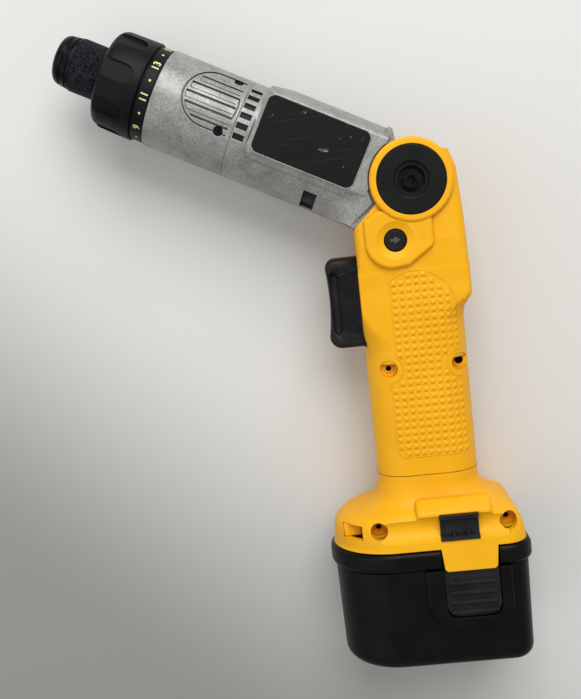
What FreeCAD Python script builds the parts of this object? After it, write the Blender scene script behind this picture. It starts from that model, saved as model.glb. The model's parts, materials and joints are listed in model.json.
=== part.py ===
import FreeCAD, Part
import math
import os
import re
import Sketcher
from FreeCAD import Vector

doc = FreeCAD.newDocument("pivot_screwdriver")
sheet = doc.addObject("Spreadsheet::Sheet", "dim")

# Millimetres and degrees. The frame stands on the battery's base: +Y runs up the grip,
# -X is the trigger side and +Z the left side. Barrel pieces are drawn along their own
# axis, with the bit towards -X and the pivot pin above the axis.
sizes = {
    "pivot_x": 2.5,
    "pivot_y": 198,
    "barrel_tilt": 28,
    "axis_drop": 6,
    "slide_gap": 0.3,
    "seat_gap": 0.1,
    "run_gap": 0.08,
    # barrel, counted from the pivot towards the bit
    "barrel_radius": 20,
    "barrel_wall": 2.4,
    "seam_reach": 71.5,
    "case_length": 34.5,
    "case_front_wall": 6,
    "nose_radius": 12.5,
    "nose_length": 19,
    "spigot_length": 8,
    "spigot_wall": 1.8,
    "spigot_shoulder": 4,
    "tail_reach": 14,
    "side_flat": 20.4,
    "side_flat_low": 6.5,
    "side_flat_high": 17,
    "roof_height": 21.8,
    "roof_half": 8.5,
    "roof_setback": 7.5,
    "roof_reach": "=seam_reach - roof_setback",
    "hub_radius": 14.2,
    "hub_half": 17.2,
    "plate_back": 21.4,
    "plate_setback": 9.8,
    "plate_height": 22,
    "plate_thick": 0.9,
    "plate_inset": 0.5,
    "plate_rise": 5,
    "plate_corner": 3.2,
    "vent_width": 2.4,
    "vent_length": 4.6,
    "vent_pitch": 12.4,
    "vent_count": 6,
    "vent_turn": 20.2,
    "rib_groove": 0.9,
    "rib_depth": 0.9,
    "rib_field": 10.8,
    "rib_reach": 12.5,
    "rib_rise": 6,
    "rib_outline": 0.6,
    "case_screw_x": 5.4,
    "case_screw_high": 56,
    "case_screw_low": -13,
    "case_screw_seat": 18.3,
    "case_screw_head": 1.9,
    "case_screw_shank": 1.1,
    # motor
    "motor_back": 22,
    "can_wall": 1.3,
    "can_boss": 6,
    "magnet_thick": 3,
    "magnet_clear": 4,
    "magnet_length": "=seam_reach - spigot_shoulder - seat_gap - can_wall - magnet_clear"
                     " - motor_back - brush_room",
    "magnet_inner_gap": 10,
    "shaft_radius": 1.6,
    "rotor_inset": 2,
    "rotor_length": "=magnet_length - 2 * rotor_inset",
    "rotor_slot": 2.6,
    "rotor_slots": 5,
    "commutator_radius": 4.6,
    "commutator_length": 7,
    "brush_room": "=commutator_length + 3",
    "end_cap_length": 5,
    "brush_length": 4,
    "brush_width": 4,
    # two-stage planetary gears
    "gear_module": 0.8,
    "sun_teeth": 12,
    "planet_teeth": 12,
    "planet_count": 3,
    "stage_width": 6,
    "carrier_thick": 2.2,
    "pin_radius": 1.5,
    "gear_plate_thick": 1.5,
    # torque clutch
    "ball_radius": 1.4,
    "ball_circle": 15.5,
    "ball_count": 6,
    "clutch_plate_thick": 1.5,
    "clutch_spring_length": 9.5,
    "clutch_wire": 1.1,
    "clutch_nut_length": 4,
    "clutch_length": 23,
    "clutch_wall": 2.7,
    "clutch_front_wall": 3.8,
    "clutch_shoulder": 7.4,
    "clutch_band": 4.8,
    "clutch_scoops": 8,
    "scoop_radius": 7,
    "scoop_depth": 1.7,
    "scoop_length": 14,
    # spindle and quick-release collar
    "bush_wall": 2,
    "bush_length": 15,
    "spindle_radius": 6.9,
    "chuck_radius": 6.4,
    "chuck_length": 23.6,
    "hex_flats": 6.45,
    "hex_depth": 21.6,
    "collar_radius": 10.8,
    "collar_length": 23.6,
    "collar_guide": 4,
    "collar_bore": 8.9,
    "collar_lip": 7.2,
    "collar_wire": 0.8,
    "collar_spring_length": 10,
    "retainer_thick": 1,
    "bit_ball_radius": 1.1,
    # pivot
    "ear_radius": 16.4,
    "ear_face": 22.4,
    "cap_radius": 13.6,
    "cap_thick": 2.2,
    "cap_recess": 6.8,
    "sleeve_radius": 6.3,
    "bolt_radius": 2,
    "bolt_head": 3.5,
    "bolt_head_height": 3,
    "bolt_hex": 3,
    # handle
    "grip_fore": 21.6,
    "grip_aft": 19.6,
    "grip_width": 35,
    "grip_corner": 13,
    "shell_wall": 2.6,
    "head_half": 19.8,
    "head_rear": 22.4,
    "head_drop": 50,
    "head_arch": 23,
    "head_bow": 500,
    "cheek_reach": 13.2,
    "head_edge": 4.4,
    "cheek_edge": 3,
    "spine_rise": 10.5,
    "spine_reach": 18,
    "head_blend": 26,
    "head_lip": 0.35,
    "crease_y": 76,
    "foot_bottom": 51,
    "foot_front": 43,
    "foot_rear": 35.2,
    "foot_half": 27,
    "foot_nose": 26,
    "foot_heel": 9,
    "tongue_x": 11.4,
    "tongue_width": 23,
    "tongue_drop": 9.5,
    "tongue_thick": 2.6,
    "channel_rise": 8.7,
    "channel_y": "=foot_bottom + channel_rise",
    "channel_radius": 5.6,
    "channel_depth": 3.3,
    "screw_y": 124,
    "screw_front": 13.2,
    "screw_rear": 15.6,
    "foot_screw_front": 23.8,
    "foot_screw_rear": 28,
    "screw_recess": 3.5,
    "screw_boss": 4.6,
    "screw_head": 2.9,
    "screw_head_height": 2.2,
    "screw_shank": 1.6,
    "screw_seat": 9,
    "screw_length": 16,
    "clip_x": 8.2,
    "clip_length": 15.4,
    "clip_height": 10.6,
    "clip_thick": 1.6,
    "clip_bed": 0.6,
    "brow_fore": 16.6,
    "brow_aft": 13.6,
    "brow_rise": 10.6,
    "brow_edge": 2,
    # controls
    "button_x": 5.8,
    "button_drop": 22.8,
    "button_y": "=pivot_y - button_drop",
    "button_radius": 4.3,
    "button_half": 20,
    "button_throw": 2.5,
    "bowl_radius": 7.5,
    "bowl_depth": 2,
    "shield_face": 21.4,
    "shield_edge": 1.3,
    "trigger_drop": 28,
    "trigger_height": 36.8,
    "trigger_top": "=pivot_y - trigger_drop",
    "trigger_bottom": "=trigger_top - trigger_height",
    "trigger_reach": 13.2,
    "trigger_half": 8.6,
    "trigger_edge": 2.5,
    "trigger_travel": 5,
    "flange_thick": 2,
    "flange_back": 2.4,
    "plunger_radius": 2.6,
    "switch_top": "=trigger_top - 5",
    "switch_bottom": "=trigger_bottom - 1.4",
    "switch_front": 8.4,
    "switch_rear": 7.5,
    "switch_half": 13.6,
    # battery
    "pack_front": 43,
    "pack_rear": 35.6,
    "pack_inset": 1.4,
    "pack_half": "=foot_half - pack_inset",
    "pack_draft": 0.8,
    "lid_height": 9,
    "pack_top": "=foot_bottom - lid_height",
    "pack_wall": 2.2,
    "pack_edge": 6,
    "bead_swell": 1.6,
    "bead_round": 2.5,
    "frame_fore": 18.8,
    "frame_aft": 16.1,
    "frame_bend_fore": 13,
    "frame_bend_aft": 10.5,
    "frame_low": 17.2,
    "frame_swell": 1.7,
    "frame_edge": 1.4,
    "latch_half": 11,
    "latch_low": 22.2,
    "latch_high": "=pack_top - 0.8",
    "latch_corner": 5,
    "latch_plain": 2.6,
    "latch_flange": 1.8,
    "latch_ribs": 4,
    "latch_rib": 1.2,
    "latch_spring_length": 7.2,
    "latch_spring_radius": 1.25,
    "latch_wire": 0.3,
    "tower_front": 12,
    "tower_rear": 16,
    "tower_half": 11,
    "tower_rise": 17,
    "tower_top": "=foot_bottom + tower_rise",
    "cell_diameter": 17,
    "cell_gap": 1.2,
    "terminal_y": "=tower_top + 3",
    "terminal_height": 7,
    "terminal_half": 8.5,
    "blade_width": 6,
    "blade_thick": 0.8,
    "blade_spread": 13,
}
for row, (alias, size) in enumerate(sizes.items(), 1):
    sheet.set("A%d" % row, str(size))
    sheet.setAlias("A%d" % row, alias)
doc.recompute()


def bound(text):
    return re.sub(r"[a-z][a-z_]*[a-z]",
                  lambda m: "dim." + m.group() if m.group() in sizes else m.group(), text)


def number(text):
    return float(sheet.evalExpression(bound(text)))


def bind(thing, place, text):
    thing.setExpression(place, bound(text))


def piece(label):
    body = doc.addObject("PartDesign::Body", label)
    body.Label = label
    return body


def origin_of(body, role):
    return next(f for f in body.Origin.OriginFeatures if f.Role == role)


def sketch_on(body, role, offset=None, spin=None):
    sketch = body.newObject("Sketcher::SketchObject", body.Name + "_sketch")
    sketch.AttachmentSupport = [(origin_of(body, role), "")]
    sketch.MapMode = "FlatFace"
    if offset:
        bind(sketch, "AttachmentOffset.Base.z", offset)
    if spin:
        sketch.AttachmentOffset = FreeCAD.Placement(Vector(), FreeCAD.Rotation(Vector(0, 0, 1), 0))
        bind(sketch, "AttachmentOffset.Rotation.Angle", spin)
    return sketch


def tie(sketch, kind, geo, end, text):
    index = sketch.addConstraint(Sketcher.Constraint(kind, -1, 1, geo, end, number(text)))
    bind(sketch, "Constraints[%d]" % index, text)


# A closed outline of (x, y) corners. A third entry makes the edge that leaves the corner
# an arc of that radius, to the left if positive and to the right if it starts with a minus.
def draw_path(sketch, corners):
    points = [Vector(number(c[0]), number(c[1]), 0) for c in corners]
    edges = []
    for i, corner in enumerate(corners):
        start = points[i]
        end = points[(i + 1) % len(points)]
        if len(corner) == 2:
            edges.append((sketch.addGeometry(Part.LineSegment(start, end)), 1, 2))
            continue
        turn = -1 if corner[2].startswith("-") else 1
        radius = abs(number(corner[2]))
        half = (end - start) * 0.5
        lift = math.sqrt(max(radius * radius - half.Length ** 2, 0))
        middle = start + half + Vector(-half.y, half.x, 0).normalize() * lift * turn
        first, last = (start, end) if turn > 0 else (end, start)
        angles = [math.atan2(p.y - middle.y, p.x - middle.x) for p in (first, last)]
        circle = Part.Circle(middle, Vector(0, 0, 1), radius)
        geo = sketch.addGeometry(Part.ArcOfCircle(circle, angles[0], angles[1]))
        edges.append((geo, 1, 2) if turn > 0 else (geo, 2, 1))
    for i, corner in enumerate(corners):
        geo, start, end = edges[i]
        follower = edges[(i + 1) % len(edges)]
        sketch.addConstraint(Sketcher.Constraint("Coincident", geo, end, follower[0], follower[1]))
        tie(sketch, "DistanceX", geo, start, corner[0])
        tie(sketch, "DistanceY", geo, start, corner[1])
        if len(corner) == 3:
            radius = corner[2].lstrip("-")
            index = sketch.addConstraint(Sketcher.Constraint("Radius", geo, number(radius)))
            bind(sketch, "Constraints[%d]" % index, radius)


def draw_circle(sketch, x, y, radius):
    circle = Part.Circle(Vector(number(x), number(y), 0), Vector(0, 0, 1), number(radius))
    geo = sketch.addGeometry(circle)
    tie(sketch, "DistanceX", geo, 3, x)
    tie(sketch, "DistanceY", geo, 3, y)
    index = sketch.addConstraint(Sketcher.Constraint("Radius", geo, number(radius)))
    bind(sketch, "Constraints[%d]" % index, radius)


def draw_box(sketch, left, low, right, high):
    draw_path(sketch, [(left, low), (right, low), (right, high), (left, high)])


def grow(body, kind, sketch, length, flip=False):
    feature = body.newObject("PartDesign::" + kind, body.Name + "_" + kind.lower())
    feature.Profile = sketch
    feature.Reversed = flip
    bind(feature, "Length", length)
    return feature


def pad(body, sketch, length, flip=False):
    return grow(body, "Pad", sketch, length, flip)


def pocket(body, sketch, length, flip=False):
    return grow(body, "Pocket", sketch, length, flip)


def turn(body, sketch, kind="Revolution", axis="H_Axis"):
    feature = body.newObject("PartDesign::" + kind, body.Name + "_" + kind.lower())
    feature.Profile = sketch
    feature.ReferenceAxis = (sketch, [axis])
    feature.Angle = 360
    return feature


def loft(body, kind, sketches):
    feature = body.newObject("PartDesign::%sLoft" % kind, body.Name + "_loft")
    feature.Profile = sketches[0]
    feature.Sections = sketches[1:]
    feature.Ruled = False
    return feature


def polar(body, features, role, count):
    pattern = body.newObject("PartDesign::PolarPattern", body.Name + "_pattern")
    pattern.Originals = features
    pattern.Axis = (origin_of(body, role), [""])
    pattern.Angle = 360
    bind(pattern, "Occurrences", count)
    body.Tip = pattern
    return pattern


def soften(body, radius, chosen, kind="Fillet"):
    doc.recompute()
    base = body.Tip
    names = ["Edge%d" % i for i, edge in enumerate(base.Shape.Edges, 1) if chosen(edge)]
    feature = body.newObject("PartDesign::" + kind, body.Name + "_edge")
    feature.Base = (base, names)
    bind(feature, "Radius" if kind == "Fillet" else "Size", radius)
    return feature


def middle_of(edge):
    return edge.valueAt((edge.FirstParameter + edge.LastParameter) / 2)


def turned(label, corners):
    body = piece(label)
    sketch = sketch_on(body, "XY_Plane")
    draw_path(sketch, corners)
    turn(body, sketch)
    return body


# Puts a piece drawn on its own axis into the barrel, y and z from the barrel's axis.
def on_barrel(thing, y="0", z="0"):
    thing.Placement = FreeCAD.Placement(Vector(), FreeCAD.Rotation(Vector(0, 0, 1), 1))
    bind(thing, "Placement.Base.x", "pivot_x + (%s - axis_drop) * sin(barrel_tilt)" % y)
    bind(thing, "Placement.Base.y", "pivot_y + (%s - axis_drop) * cos(barrel_tilt)" % y)
    bind(thing, "Placement.Base.z", z)
    bind(thing, "Placement.Rotation.Angle", "-barrel_tilt")
    return thing


def primitive(kind, name, values, x="0", y="0", z="0", axis=None, angle="0"):
    solid = doc.addObject("Part::" + kind, name)
    for place, text in values.items():
        bind(solid, place, text)
    if axis:
        solid.Placement = FreeCAD.Placement(Vector(), FreeCAD.Rotation(axis, 1))
        bind(solid, "Placement.Rotation.Angle", angle)
    bind(solid, "Placement.Base.x", x)
    bind(solid, "Placement.Base.y", y)
    bind(solid, "Placement.Base.z", z)
    return solid


def rod(name, radius, length, x, y, z, axis=None, angle="0"):
    return primitive("Cylinder", name, {"Radius": radius, "Height": length}, x, y, z, axis, angle)


def fuse(label, solids):
    union = doc.addObject("Part::MultiFuse", label)
    union.Shapes = solids
    union.Label = label
    return union


def cut(label, base, tools):
    result = doc.addObject("Part::Cut", label)
    result.Base = base
    result.Tool = tools[0] if len(tools) == 1 else fuse(label + "_tools", tools)
    result.Label = label
    return result


def common(label, solids):
    shared = doc.addObject("Part::MultiCommon", label)
    shared.Shapes = solids
    return shared


def group(label, solids):
    compound = doc.addObject("Part::Compound", label)
    compound.Links = solids
    compound.Label = label
    return compound


def mirrored(label, source):
    twin = doc.addObject("Part::Mirroring", label)
    twin.Source = source
    twin.Normal = Vector(0, 0, 1)
    twin.Base = Vector(0, 0, 0)
    twin.Label = label
    return twin


# A wire coil along +Z from its own origin, then turned to lie along the barrel or left alone.
def coil(label, radius, wire, length, turns):
    helix = doc.addObject("Part::Helix", label + "_helix")
    bind(helix, "Radius", radius)
    bind(helix, "Height", "%s - 2 * %s" % (length, wire))
    bind(helix, "Pitch", "(%s - 2 * %s) / %s" % (length, wire, turns))
    ring = doc.addObject("Part::Circle", label + "_wire")
    bind(ring, "Radius", wire)
    ring.Placement = FreeCAD.Placement(Vector(), FreeCAD.Rotation(Vector(1, 0, 0), 90))
    bind(ring, "Placement.Base.x", radius)
    sweep = doc.addObject("Part::Sweep", label)
    sweep.Sections = [ring]
    doc.recompute()
    sweep.Spine = (helix, ["Edge%d" % (i + 1) for i in range(len(helix.Shape.Edges))])
    sweep.Solid = True
    sweep.Frenet = True
    sweep.Label = label
    return sweep


nodes = []

# Stations along the barrel, each counted from the pivot.
case_bore = "(barrel_radius - barrel_wall)"
band_reach = "(seam_reach + case_length)"
can_seat = "(seam_reach - spigot_shoulder)"
wall_back = "(seam_reach + case_length - case_front_wall)"
nose_front = "(seam_reach + case_length + nose_length)"
spigot_end = "(seam_reach + spigot_length)"
plate_end = "(seam_reach + spigot_length + seat_gap + gear_plate_thick)"
stage_one = "(%s + slide_gap)" % plate_end
stage_one_end = "(%s + stage_width)" % stage_one
carrier_back = "(%s + slide_gap)" % stage_one_end
carrier_front = "(%s + carrier_thick)" % carrier_back
stage_two = "(%s + slide_gap)" % carrier_front
stage_two_end = "(%s - slide_gap - carrier_thick - slide_gap)" % wall_back
disc_back = "(%s - slide_gap - carrier_thick)" % wall_back
disc_front = "(%s - slide_gap)" % wall_back
bush_radius = "(spindle_radius + run_gap + bush_wall)"
chuck_front = "(%s + slide_gap + chuck_length)" % nose_front
collar_back = "(%s + 1.5)" % nose_front
collar_front = "(%s + collar_length)" % collar_back
clutch_back = "(%s + slide_gap)" % band_reach
clutch_front = "(%s + clutch_length)" % clutch_back
clutch_bore = "(barrel_radius - clutch_wall)"
spring_back = "(%s + slide_gap + clutch_plate_thick + slide_gap)" % band_reach
nut_back = "(%s + clutch_spring_length + slide_gap)" % spring_back
retainer_front = "(%s - 1.6)" % chuck_front
gear_radius = "(gear_module * (sun_teeth + planet_teeth) / 2)"
sun_pitch = "(gear_module * sun_teeth / 2)"
planet_pitch = "(gear_module * planet_teeth / 2)"
ring_pitch = "(gear_module * (sun_teeth / 2 + planet_teeth))"

# Silver gear case: a turned cup with a nose that carries the clutch, rib grooves and screw recesses.
case_form = turned("gear_case_form", [
    ("-seam_reach", case_bore),
    ("-seam_reach", "barrel_radius - 0.4"),
    ("-seam_reach - 0.4", "barrel_radius"),
    ("-%s" % band_reach, "barrel_radius"),
    ("-%s" % band_reach, "nose_radius"),
    ("-%s" % nose_front, "nose_radius"),
    ("-%s" % nose_front, bush_radius + " + seat_gap"),
    ("-%s" % wall_back, bush_radius + " + seat_gap"),
    ("-%s" % wall_back, case_bore),
])
holes = sketch_on(case_form, "YZ_Plane", "-%s" % band_reach)
draw_circle(holes, "ball_circle", "0", "ball_radius + seat_gap")
polar(case_form, [pocket(case_form, holes, "case_front_wall + 1", True)], "X_Axis", "ball_count")
on_barrel(case_form)


# A box whose height points away from the barrel's axis, at an angle above the level.
def radial_box(name, length, width, height, x, base, spin):
    box = primitive("Box", name, {"Length": length, "Width": width, "Height": height}, x,
                    "(%s) * sin(%s) - %s / 2 * cos(%s)" % (base, spin, width, spin),
                    "(%s) * cos(%s) + %s / 2 * sin(%s)" % (base, spin, width, spin),
                     Vector(1, 0, 0), "-(%s)" % spin)
    return box


# The ribbed field: a round end towards the bit, straight sides towards the seam.
def rib_field_form(name, spare):
    end = rod(name + "_end", "rib_field + " + spare, "barrel_radius * 2",
              "-seam_reach - rib_reach", "rib_rise", "0")
    base = primitive("Box", name + "_base", {
        "Length": "rib_reach - 2", "Width": "(rib_field + %s) * 2" % spare, "Height": "barrel_radius * 2"},
        "-seam_reach - rib_reach", "rib_rise - rib_field - " + spare, "0")
    return fuse(name, [end, base])


vent_spins = ["(vent_turn + (%d - (vent_count - 1) / 2) * vent_pitch)" % i
              for i in range(int(number("vent_count")))]
rib_bars = [radial_box("rib_slab", "case_length", "rib_groove", "rib_depth + 3", "-%s" % band_reach,
                       "barrel_radius - rib_depth", spin + " + 3.6") for spin in vent_spins[:-1]]
rib_skin = turned("rib_skin", [
    ("-%s" % band_reach, "barrel_radius - rib_outline"),
    ("-seam_reach", "barrel_radius - rib_outline"),
    ("-seam_reach", "barrel_radius + 2"),
    ("-%s" % band_reach, "barrel_radius + 2"),
])
rib_rim = cut("rib_rim", rib_field_form("rib_outer", "rib_outline"), [rib_field_form("rib_inner", "0")])
rib_grooves = common("rib_grooves", [rib_field_form("rib_ground", "-0.8"), fuse("rib_bars", rib_bars)])
rib_left = fuse("rib_left", [rib_grooves,
                             common("rib_edge", [rib_rim, rib_skin])])
rib_cuts = fuse("rib_cuts", [rib_left, mirrored("rib_right", rib_left)])


# Case screws point at the barrel's axis and hold the case on the housing's spigot.
def radial(name, radius, length, base, spin):
    return rod(name, radius, length, "-seam_reach - case_screw_x", "(%s) * sin(%s)" % (base, spin),
               "(%s) * cos(%s)" % (base, spin), Vector(1, 0, 0), "-(%s)" % spin)


def case_screw(spin):
    head = radial("case_screw_cap", "case_screw_head", "1.1", "case_screw_seat + seat_gap", spin)
    shank = radial("case_screw_thread", "case_screw_shank", "2.6", "case_screw_seat - 2.4", spin)
    bar = radial_box("case_screw_bar", "case_screw_head * 1.3", "0.6", "1",
                     "-seam_reach - case_screw_x - case_screw_head * 0.65", "case_screw_seat + 0.7", spin)
    return cut("case_screw", fuse("case_screw_form", [head, shank]), [bar])


screw_spins = ("case_screw_high", "case_screw_low")
wells_left = fuse("screw_wells_left", [radial("screw_well", "case_screw_head + seat_gap", "4",
                                              "case_screw_seat", spin)
                                       for spin in screw_spins])
threads_left = fuse("screw_threads_left", [radial("screw_thread", "case_screw_shank + seat_gap", "6",
                                                  "case_screw_seat - 3", spin) for spin in screw_spins])
case_tools = on_barrel(fuse("case_tools", [rib_cuts, wells_left, mirrored("screw_wells_right", wells_left),
                                           threads_left, mirrored("screw_threads_right", threads_left)]))
nodes.append(cut("gear_case", case_form, [case_tools]))
screws_left = group("case_screws_left", [case_screw(spin) for spin in screw_spins])
nodes.append(on_barrel(group("case_screws", [screws_left, mirrored("case_screws_right", screws_left)])))


# Silver motor housing, left half: round barrel, flat name side, roof, pivot hub and spigot.
def half_round(body, at, radius):
    sketch = sketch_on(body, "YZ_Plane", at)
    draw_path(sketch, [("-(%s)" % radius, "0"), (radius, "0", radius), ("0", radius, radius)])
    return sketch


housing = piece("housing_form")
pad(housing, half_round(housing, "-seam_reach", "barrel_radius"), "seam_reach - tail_reach")
block = sketch_on(housing, "YZ_Plane", "-roof_reach")
draw_path(block, [
    ("-side_flat_low - 3", "0"),
    ("roof_height", "0"),
    ("roof_height", "roof_half"),
    ("side_flat_high + 0.6", "side_flat - 0.5"),
    ("side_flat_high - 0.4", "side_flat"),
    ("-side_flat_low", "side_flat"),
    ("-side_flat_low - 3", "side_flat - 2"),
])
pad(housing, block, "roof_reach - tail_reach")
slope = sketch_on(housing, "XY_Plane")
draw_path(slope, [
    ("-roof_reach - 1", "roof_height + 1"),
    ("-roof_reach - 1", "barrel_radius - 0.2"),
    ("-roof_reach + 8", "roof_height"),
    ("-roof_reach + 8", "roof_height + 1"),
])
pocket(housing, slope, "barrel_radius + 5", True)
tail = sketch_on(housing, "XY_Plane")
draw_path(tail, [
    ("-tail_reach - 2", "-barrel_radius + 0.4"),
    ("-tail_reach + 1", "-barrel_radius + 0.4"),
    ("hub_radius * 0.5", "axis_drop - hub_radius * 0.7"),
    ("0", "axis_drop + hub_radius * 0.9"),
    ("-tail_reach + 3", "roof_height - 4.4"),
    ("-tail_reach - 0.4", "roof_height"),
    ("-tail_reach - 2", "roof_height"),
])
pad(housing, tail, "hub_half")
hub = sketch_on(housing, "XY_Plane")
draw_circle(hub, "0", "axis_drop", "hub_radius")
pad(housing, hub, "hub_half")
spigot_outer = case_bore + " - seat_gap"
pad(housing, half_round(housing, "-%s" % spigot_end, spigot_outer), "spigot_length + 2")
ear_room = sketch_on(housing, "XY_Plane", "hub_half")
draw_circle(ear_room, "0", "axis_drop", "ear_radius + slide_gap + 0.2")
pocket(housing, ear_room, "side_flat", True)
motor_room = sketch_on(housing, "YZ_Plane", "-%s" % can_seat)
draw_circle(motor_room, "0", "0", case_bore)
pocket(housing, motor_room, "%s - motor_back + end_cap_length" % can_seat, True)
front_room = sketch_on(housing, "YZ_Plane", "-%s - 1" % spigot_end)
draw_circle(front_room, "0", "0", case_bore + " - seat_gap - spigot_wall")
pocket(housing, front_room, "spigot_length + spigot_shoulder + 2", True)
bore = sketch_on(housing, "XY_Plane")
draw_circle(bore, "0", "axis_drop", "sleeve_radius + run_gap")
pocket(housing, bore, "hub_half + 1", True)


def plate_outline(sketch, spare):
    left = "-seam_reach + plate_setback - " + spare
    right = "-plate_back + " + spare
    low = "plate_rise - plate_height / 2 - %s" % spare
    high = "plate_rise + plate_height / 2 + %s" % spare
    c = "plate_corner"
    draw_path(sketch, [
        (left + " + " + c, low),
        (right + " - " + c, low, c),
        (right, low + " + " + c),
        (right, high + " - " + c, c),
        (right + " - " + c, high),
        (left + " + " + c, high, c),
        (left, high + " - " + c),
        (left, low + " + " + c, c),
    ])


belly = sketch_on(housing, "XY_Plane", "barrel_radius")
draw_box(belly, "-37.4", "-barrel_radius - 1", "-31.8", "-barrel_radius + barrel_wall + 4.5")
pocket(housing, belly, "barrel_radius - 3.5")
side_slope = sketch_on(housing, "XZ_Plane", "-roof_height - 1")
draw_path(side_slope, [
    ("-roof_reach - 1", "side_flat - 1.2"),
    ("-roof_reach + 3", "side_flat"),
    ("-roof_reach + 3", "side_flat + 1"),
    ("-roof_reach - 1", "side_flat + 1"),
])
pocket(housing, side_slope, "2 * roof_height", True)
on_barrel(housing)
plate_bed = piece("plate_bed")
bed_sketch = sketch_on(plate_bed, "XY_Plane", "side_flat - plate_inset")
plate_outline(bed_sketch, "seat_gap")
pad(plate_bed, bed_sketch, "3")
on_barrel(plate_bed)
vents = [radial_box("vent", "vent_length", "vent_width", "barrel_wall + 6", "-seam_reach + 0.5",
                    "barrel_radius - barrel_wall - 3.5", spin) for spin in vent_spins]
openings = on_barrel(fuse("openings_left", [threads_left] + vents))
nodes.append(cut("motor_housing_left", housing, [plate_bed, openings]))
openings_right = mirrored("openings_right", openings)
nodes.append(cut("motor_housing_right", mirrored("housing_twin", housing), [openings_right]))

# Blank name plate on the floor of its bed.
nameplate = piece("nameplate")
plate_sketch = sketch_on(nameplate, "XY_Plane", "side_flat - plate_inset")
plate_outline(plate_sketch, "0")
pad(nameplate, plate_sketch, "plate_thick")
on_barrel(nameplate)
nodes.append(nameplate)

# Brushed motor.
can_radius = "(%s - seat_gap)" % case_bore
can_front = "(%s - seat_gap)" % can_seat
shaft_hole = "(shaft_radius + run_gap)"
nodes.append(on_barrel(turned("motor_can", [
    ("-%s - 2.5" % can_front, shaft_hole),
    ("-%s - 2.5" % can_front, "can_boss"),
    ("-%s" % can_front, "can_boss"),
    ("-%s" % can_front, "%s - 1" % can_radius),
    ("-%s + 1" % can_front, can_radius),
    ("-motor_back", can_radius),
    ("-motor_back", "%s - can_wall" % can_radius),
    ("-%s + can_wall" % can_front, "%s - can_wall" % can_radius),
    ("-%s + can_wall" % can_front, shaft_hole),
])))
magnet_outer = "(%s - can_wall - seat_gap)" % can_radius
magnet_inner = "(%s - magnet_thick)" % magnet_outer
magnet_back = "(motor_back + brush_room)"
magnet_ring = on_barrel(turned("magnet_ring", [
    ("-%s" % magnet_back, magnet_inner),
    ("-%s" % magnet_back, magnet_outer),
    ("-%s - magnet_length" % magnet_back, magnet_outer),
    ("-%s - magnet_length" % magnet_back, magnet_inner),
]))
magnet_gap = primitive("Box", "magnet_gap", {
    "Length": "magnet_length + 2", "Width": "barrel_radius * 2", "Height": "magnet_inner_gap"},
    "-%s - magnet_length - 1" % magnet_back, "-barrel_radius", "-magnet_inner_gap / 2")
nodes.append(cut("motor_magnets", magnet_ring, [on_barrel(group("magnet_gaps", [magnet_gap]))]))
brush_reach = "(motor_back + 1 + commutator_length / 2)"
nodes.append(on_barrel(turned("motor_end_cap", [
    ("-motor_back + end_cap_length - seat_gap", shaft_hole),
    ("-motor_back + end_cap_length - seat_gap", "%s - 2" % can_radius),
    ("-motor_back + end_cap_length - 2", can_radius),
    ("-motor_back + seat_gap", can_radius),
    ("-motor_back + seat_gap", "commutator_radius + brush_length + 2.8"),
    ("-motor_back - commutator_length", "commutator_radius + brush_length + 2.8"),
    ("-motor_back - commutator_length", "commutator_radius + brush_length + 0.5"),
    ("-motor_back + seat_gap", "commutator_radius + brush_length + 0.5"),
    ("-motor_back + seat_gap", shaft_hole),
])))
brushes = []
for side in (1, -1):
    base = "commutator_radius + run_gap" if side > 0 else "-commutator_radius - run_gap - brush_length"
    brushes.append(primitive("Box", "motor_brush", {"Length": "brush_width", "Width": "brush_length",
                                                    "Height": "brush_width"},
                             "-%s - brush_width / 2" % brush_reach, base, "-brush_width / 2"))
nodes.append(on_barrel(group("motor_brushes", brushes)))
rotor_back = "(%s + (magnet_length - rotor_length) / 2)" % magnet_back
rotor_radius = "(%s - 0.6)" % magnet_inner
armature = piece("armature")
core = sketch_on(armature, "YZ_Plane", "-%s - rotor_length" % rotor_back)
draw_circle(core, "0", "0", rotor_radius)
draw_circle(core, "0", "0", shaft_hole)
pad(armature, core, "rotor_length")
slot = sketch_on(armature, "YZ_Plane", "-%s - rotor_length" % rotor_back)
draw_path(slot, [
    ("%s * 0.45" % rotor_radius, "-rotor_slot * 0.3"),
    ("%s * 0.82" % rotor_radius, "-rotor_slot"),
    ("%s * 0.86" % rotor_radius, "-rotor_slot * 0.4"),
    ("%s + 1" % rotor_radius, "-rotor_slot * 0.4"),
    ("%s + 1" % rotor_radius, "rotor_slot * 0.4"),
    ("%s * 0.86" % rotor_radius, "rotor_slot * 0.4"),
    ("%s * 0.82" % rotor_radius, "rotor_slot"),
    ("%s * 0.45" % rotor_radius, "rotor_slot * 0.3"),
])
polar(armature, [pocket(armature, slot, "rotor_length", True)], "X_Axis", "rotor_slots")
nodes.append(on_barrel(armature))
nodes.append(on_barrel(turned("motor_shaft", [
    ("-motor_back + end_cap_length - 1", "0"),
    ("-motor_back + end_cap_length - 1", "shaft_radius"),
    ("-%s" % stage_one_end, "shaft_radius"),
    ("-%s" % stage_one_end, "0"),
])))
nodes.append(on_barrel(turned("commutator", [
    ("-motor_back - 1", shaft_hole),
    ("-motor_back - 1", "commutator_radius"),
    ("-motor_back - 1 - commutator_length", "commutator_radius"),
    ("-motor_back - 1 - commutator_length", shaft_hole),
])))

# Planetary gears with stub teeth, cut thin for backlash.
tooth_root = "gear_module * 1.1875"
tooth_tip = "gear_module * 0.8125"


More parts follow.
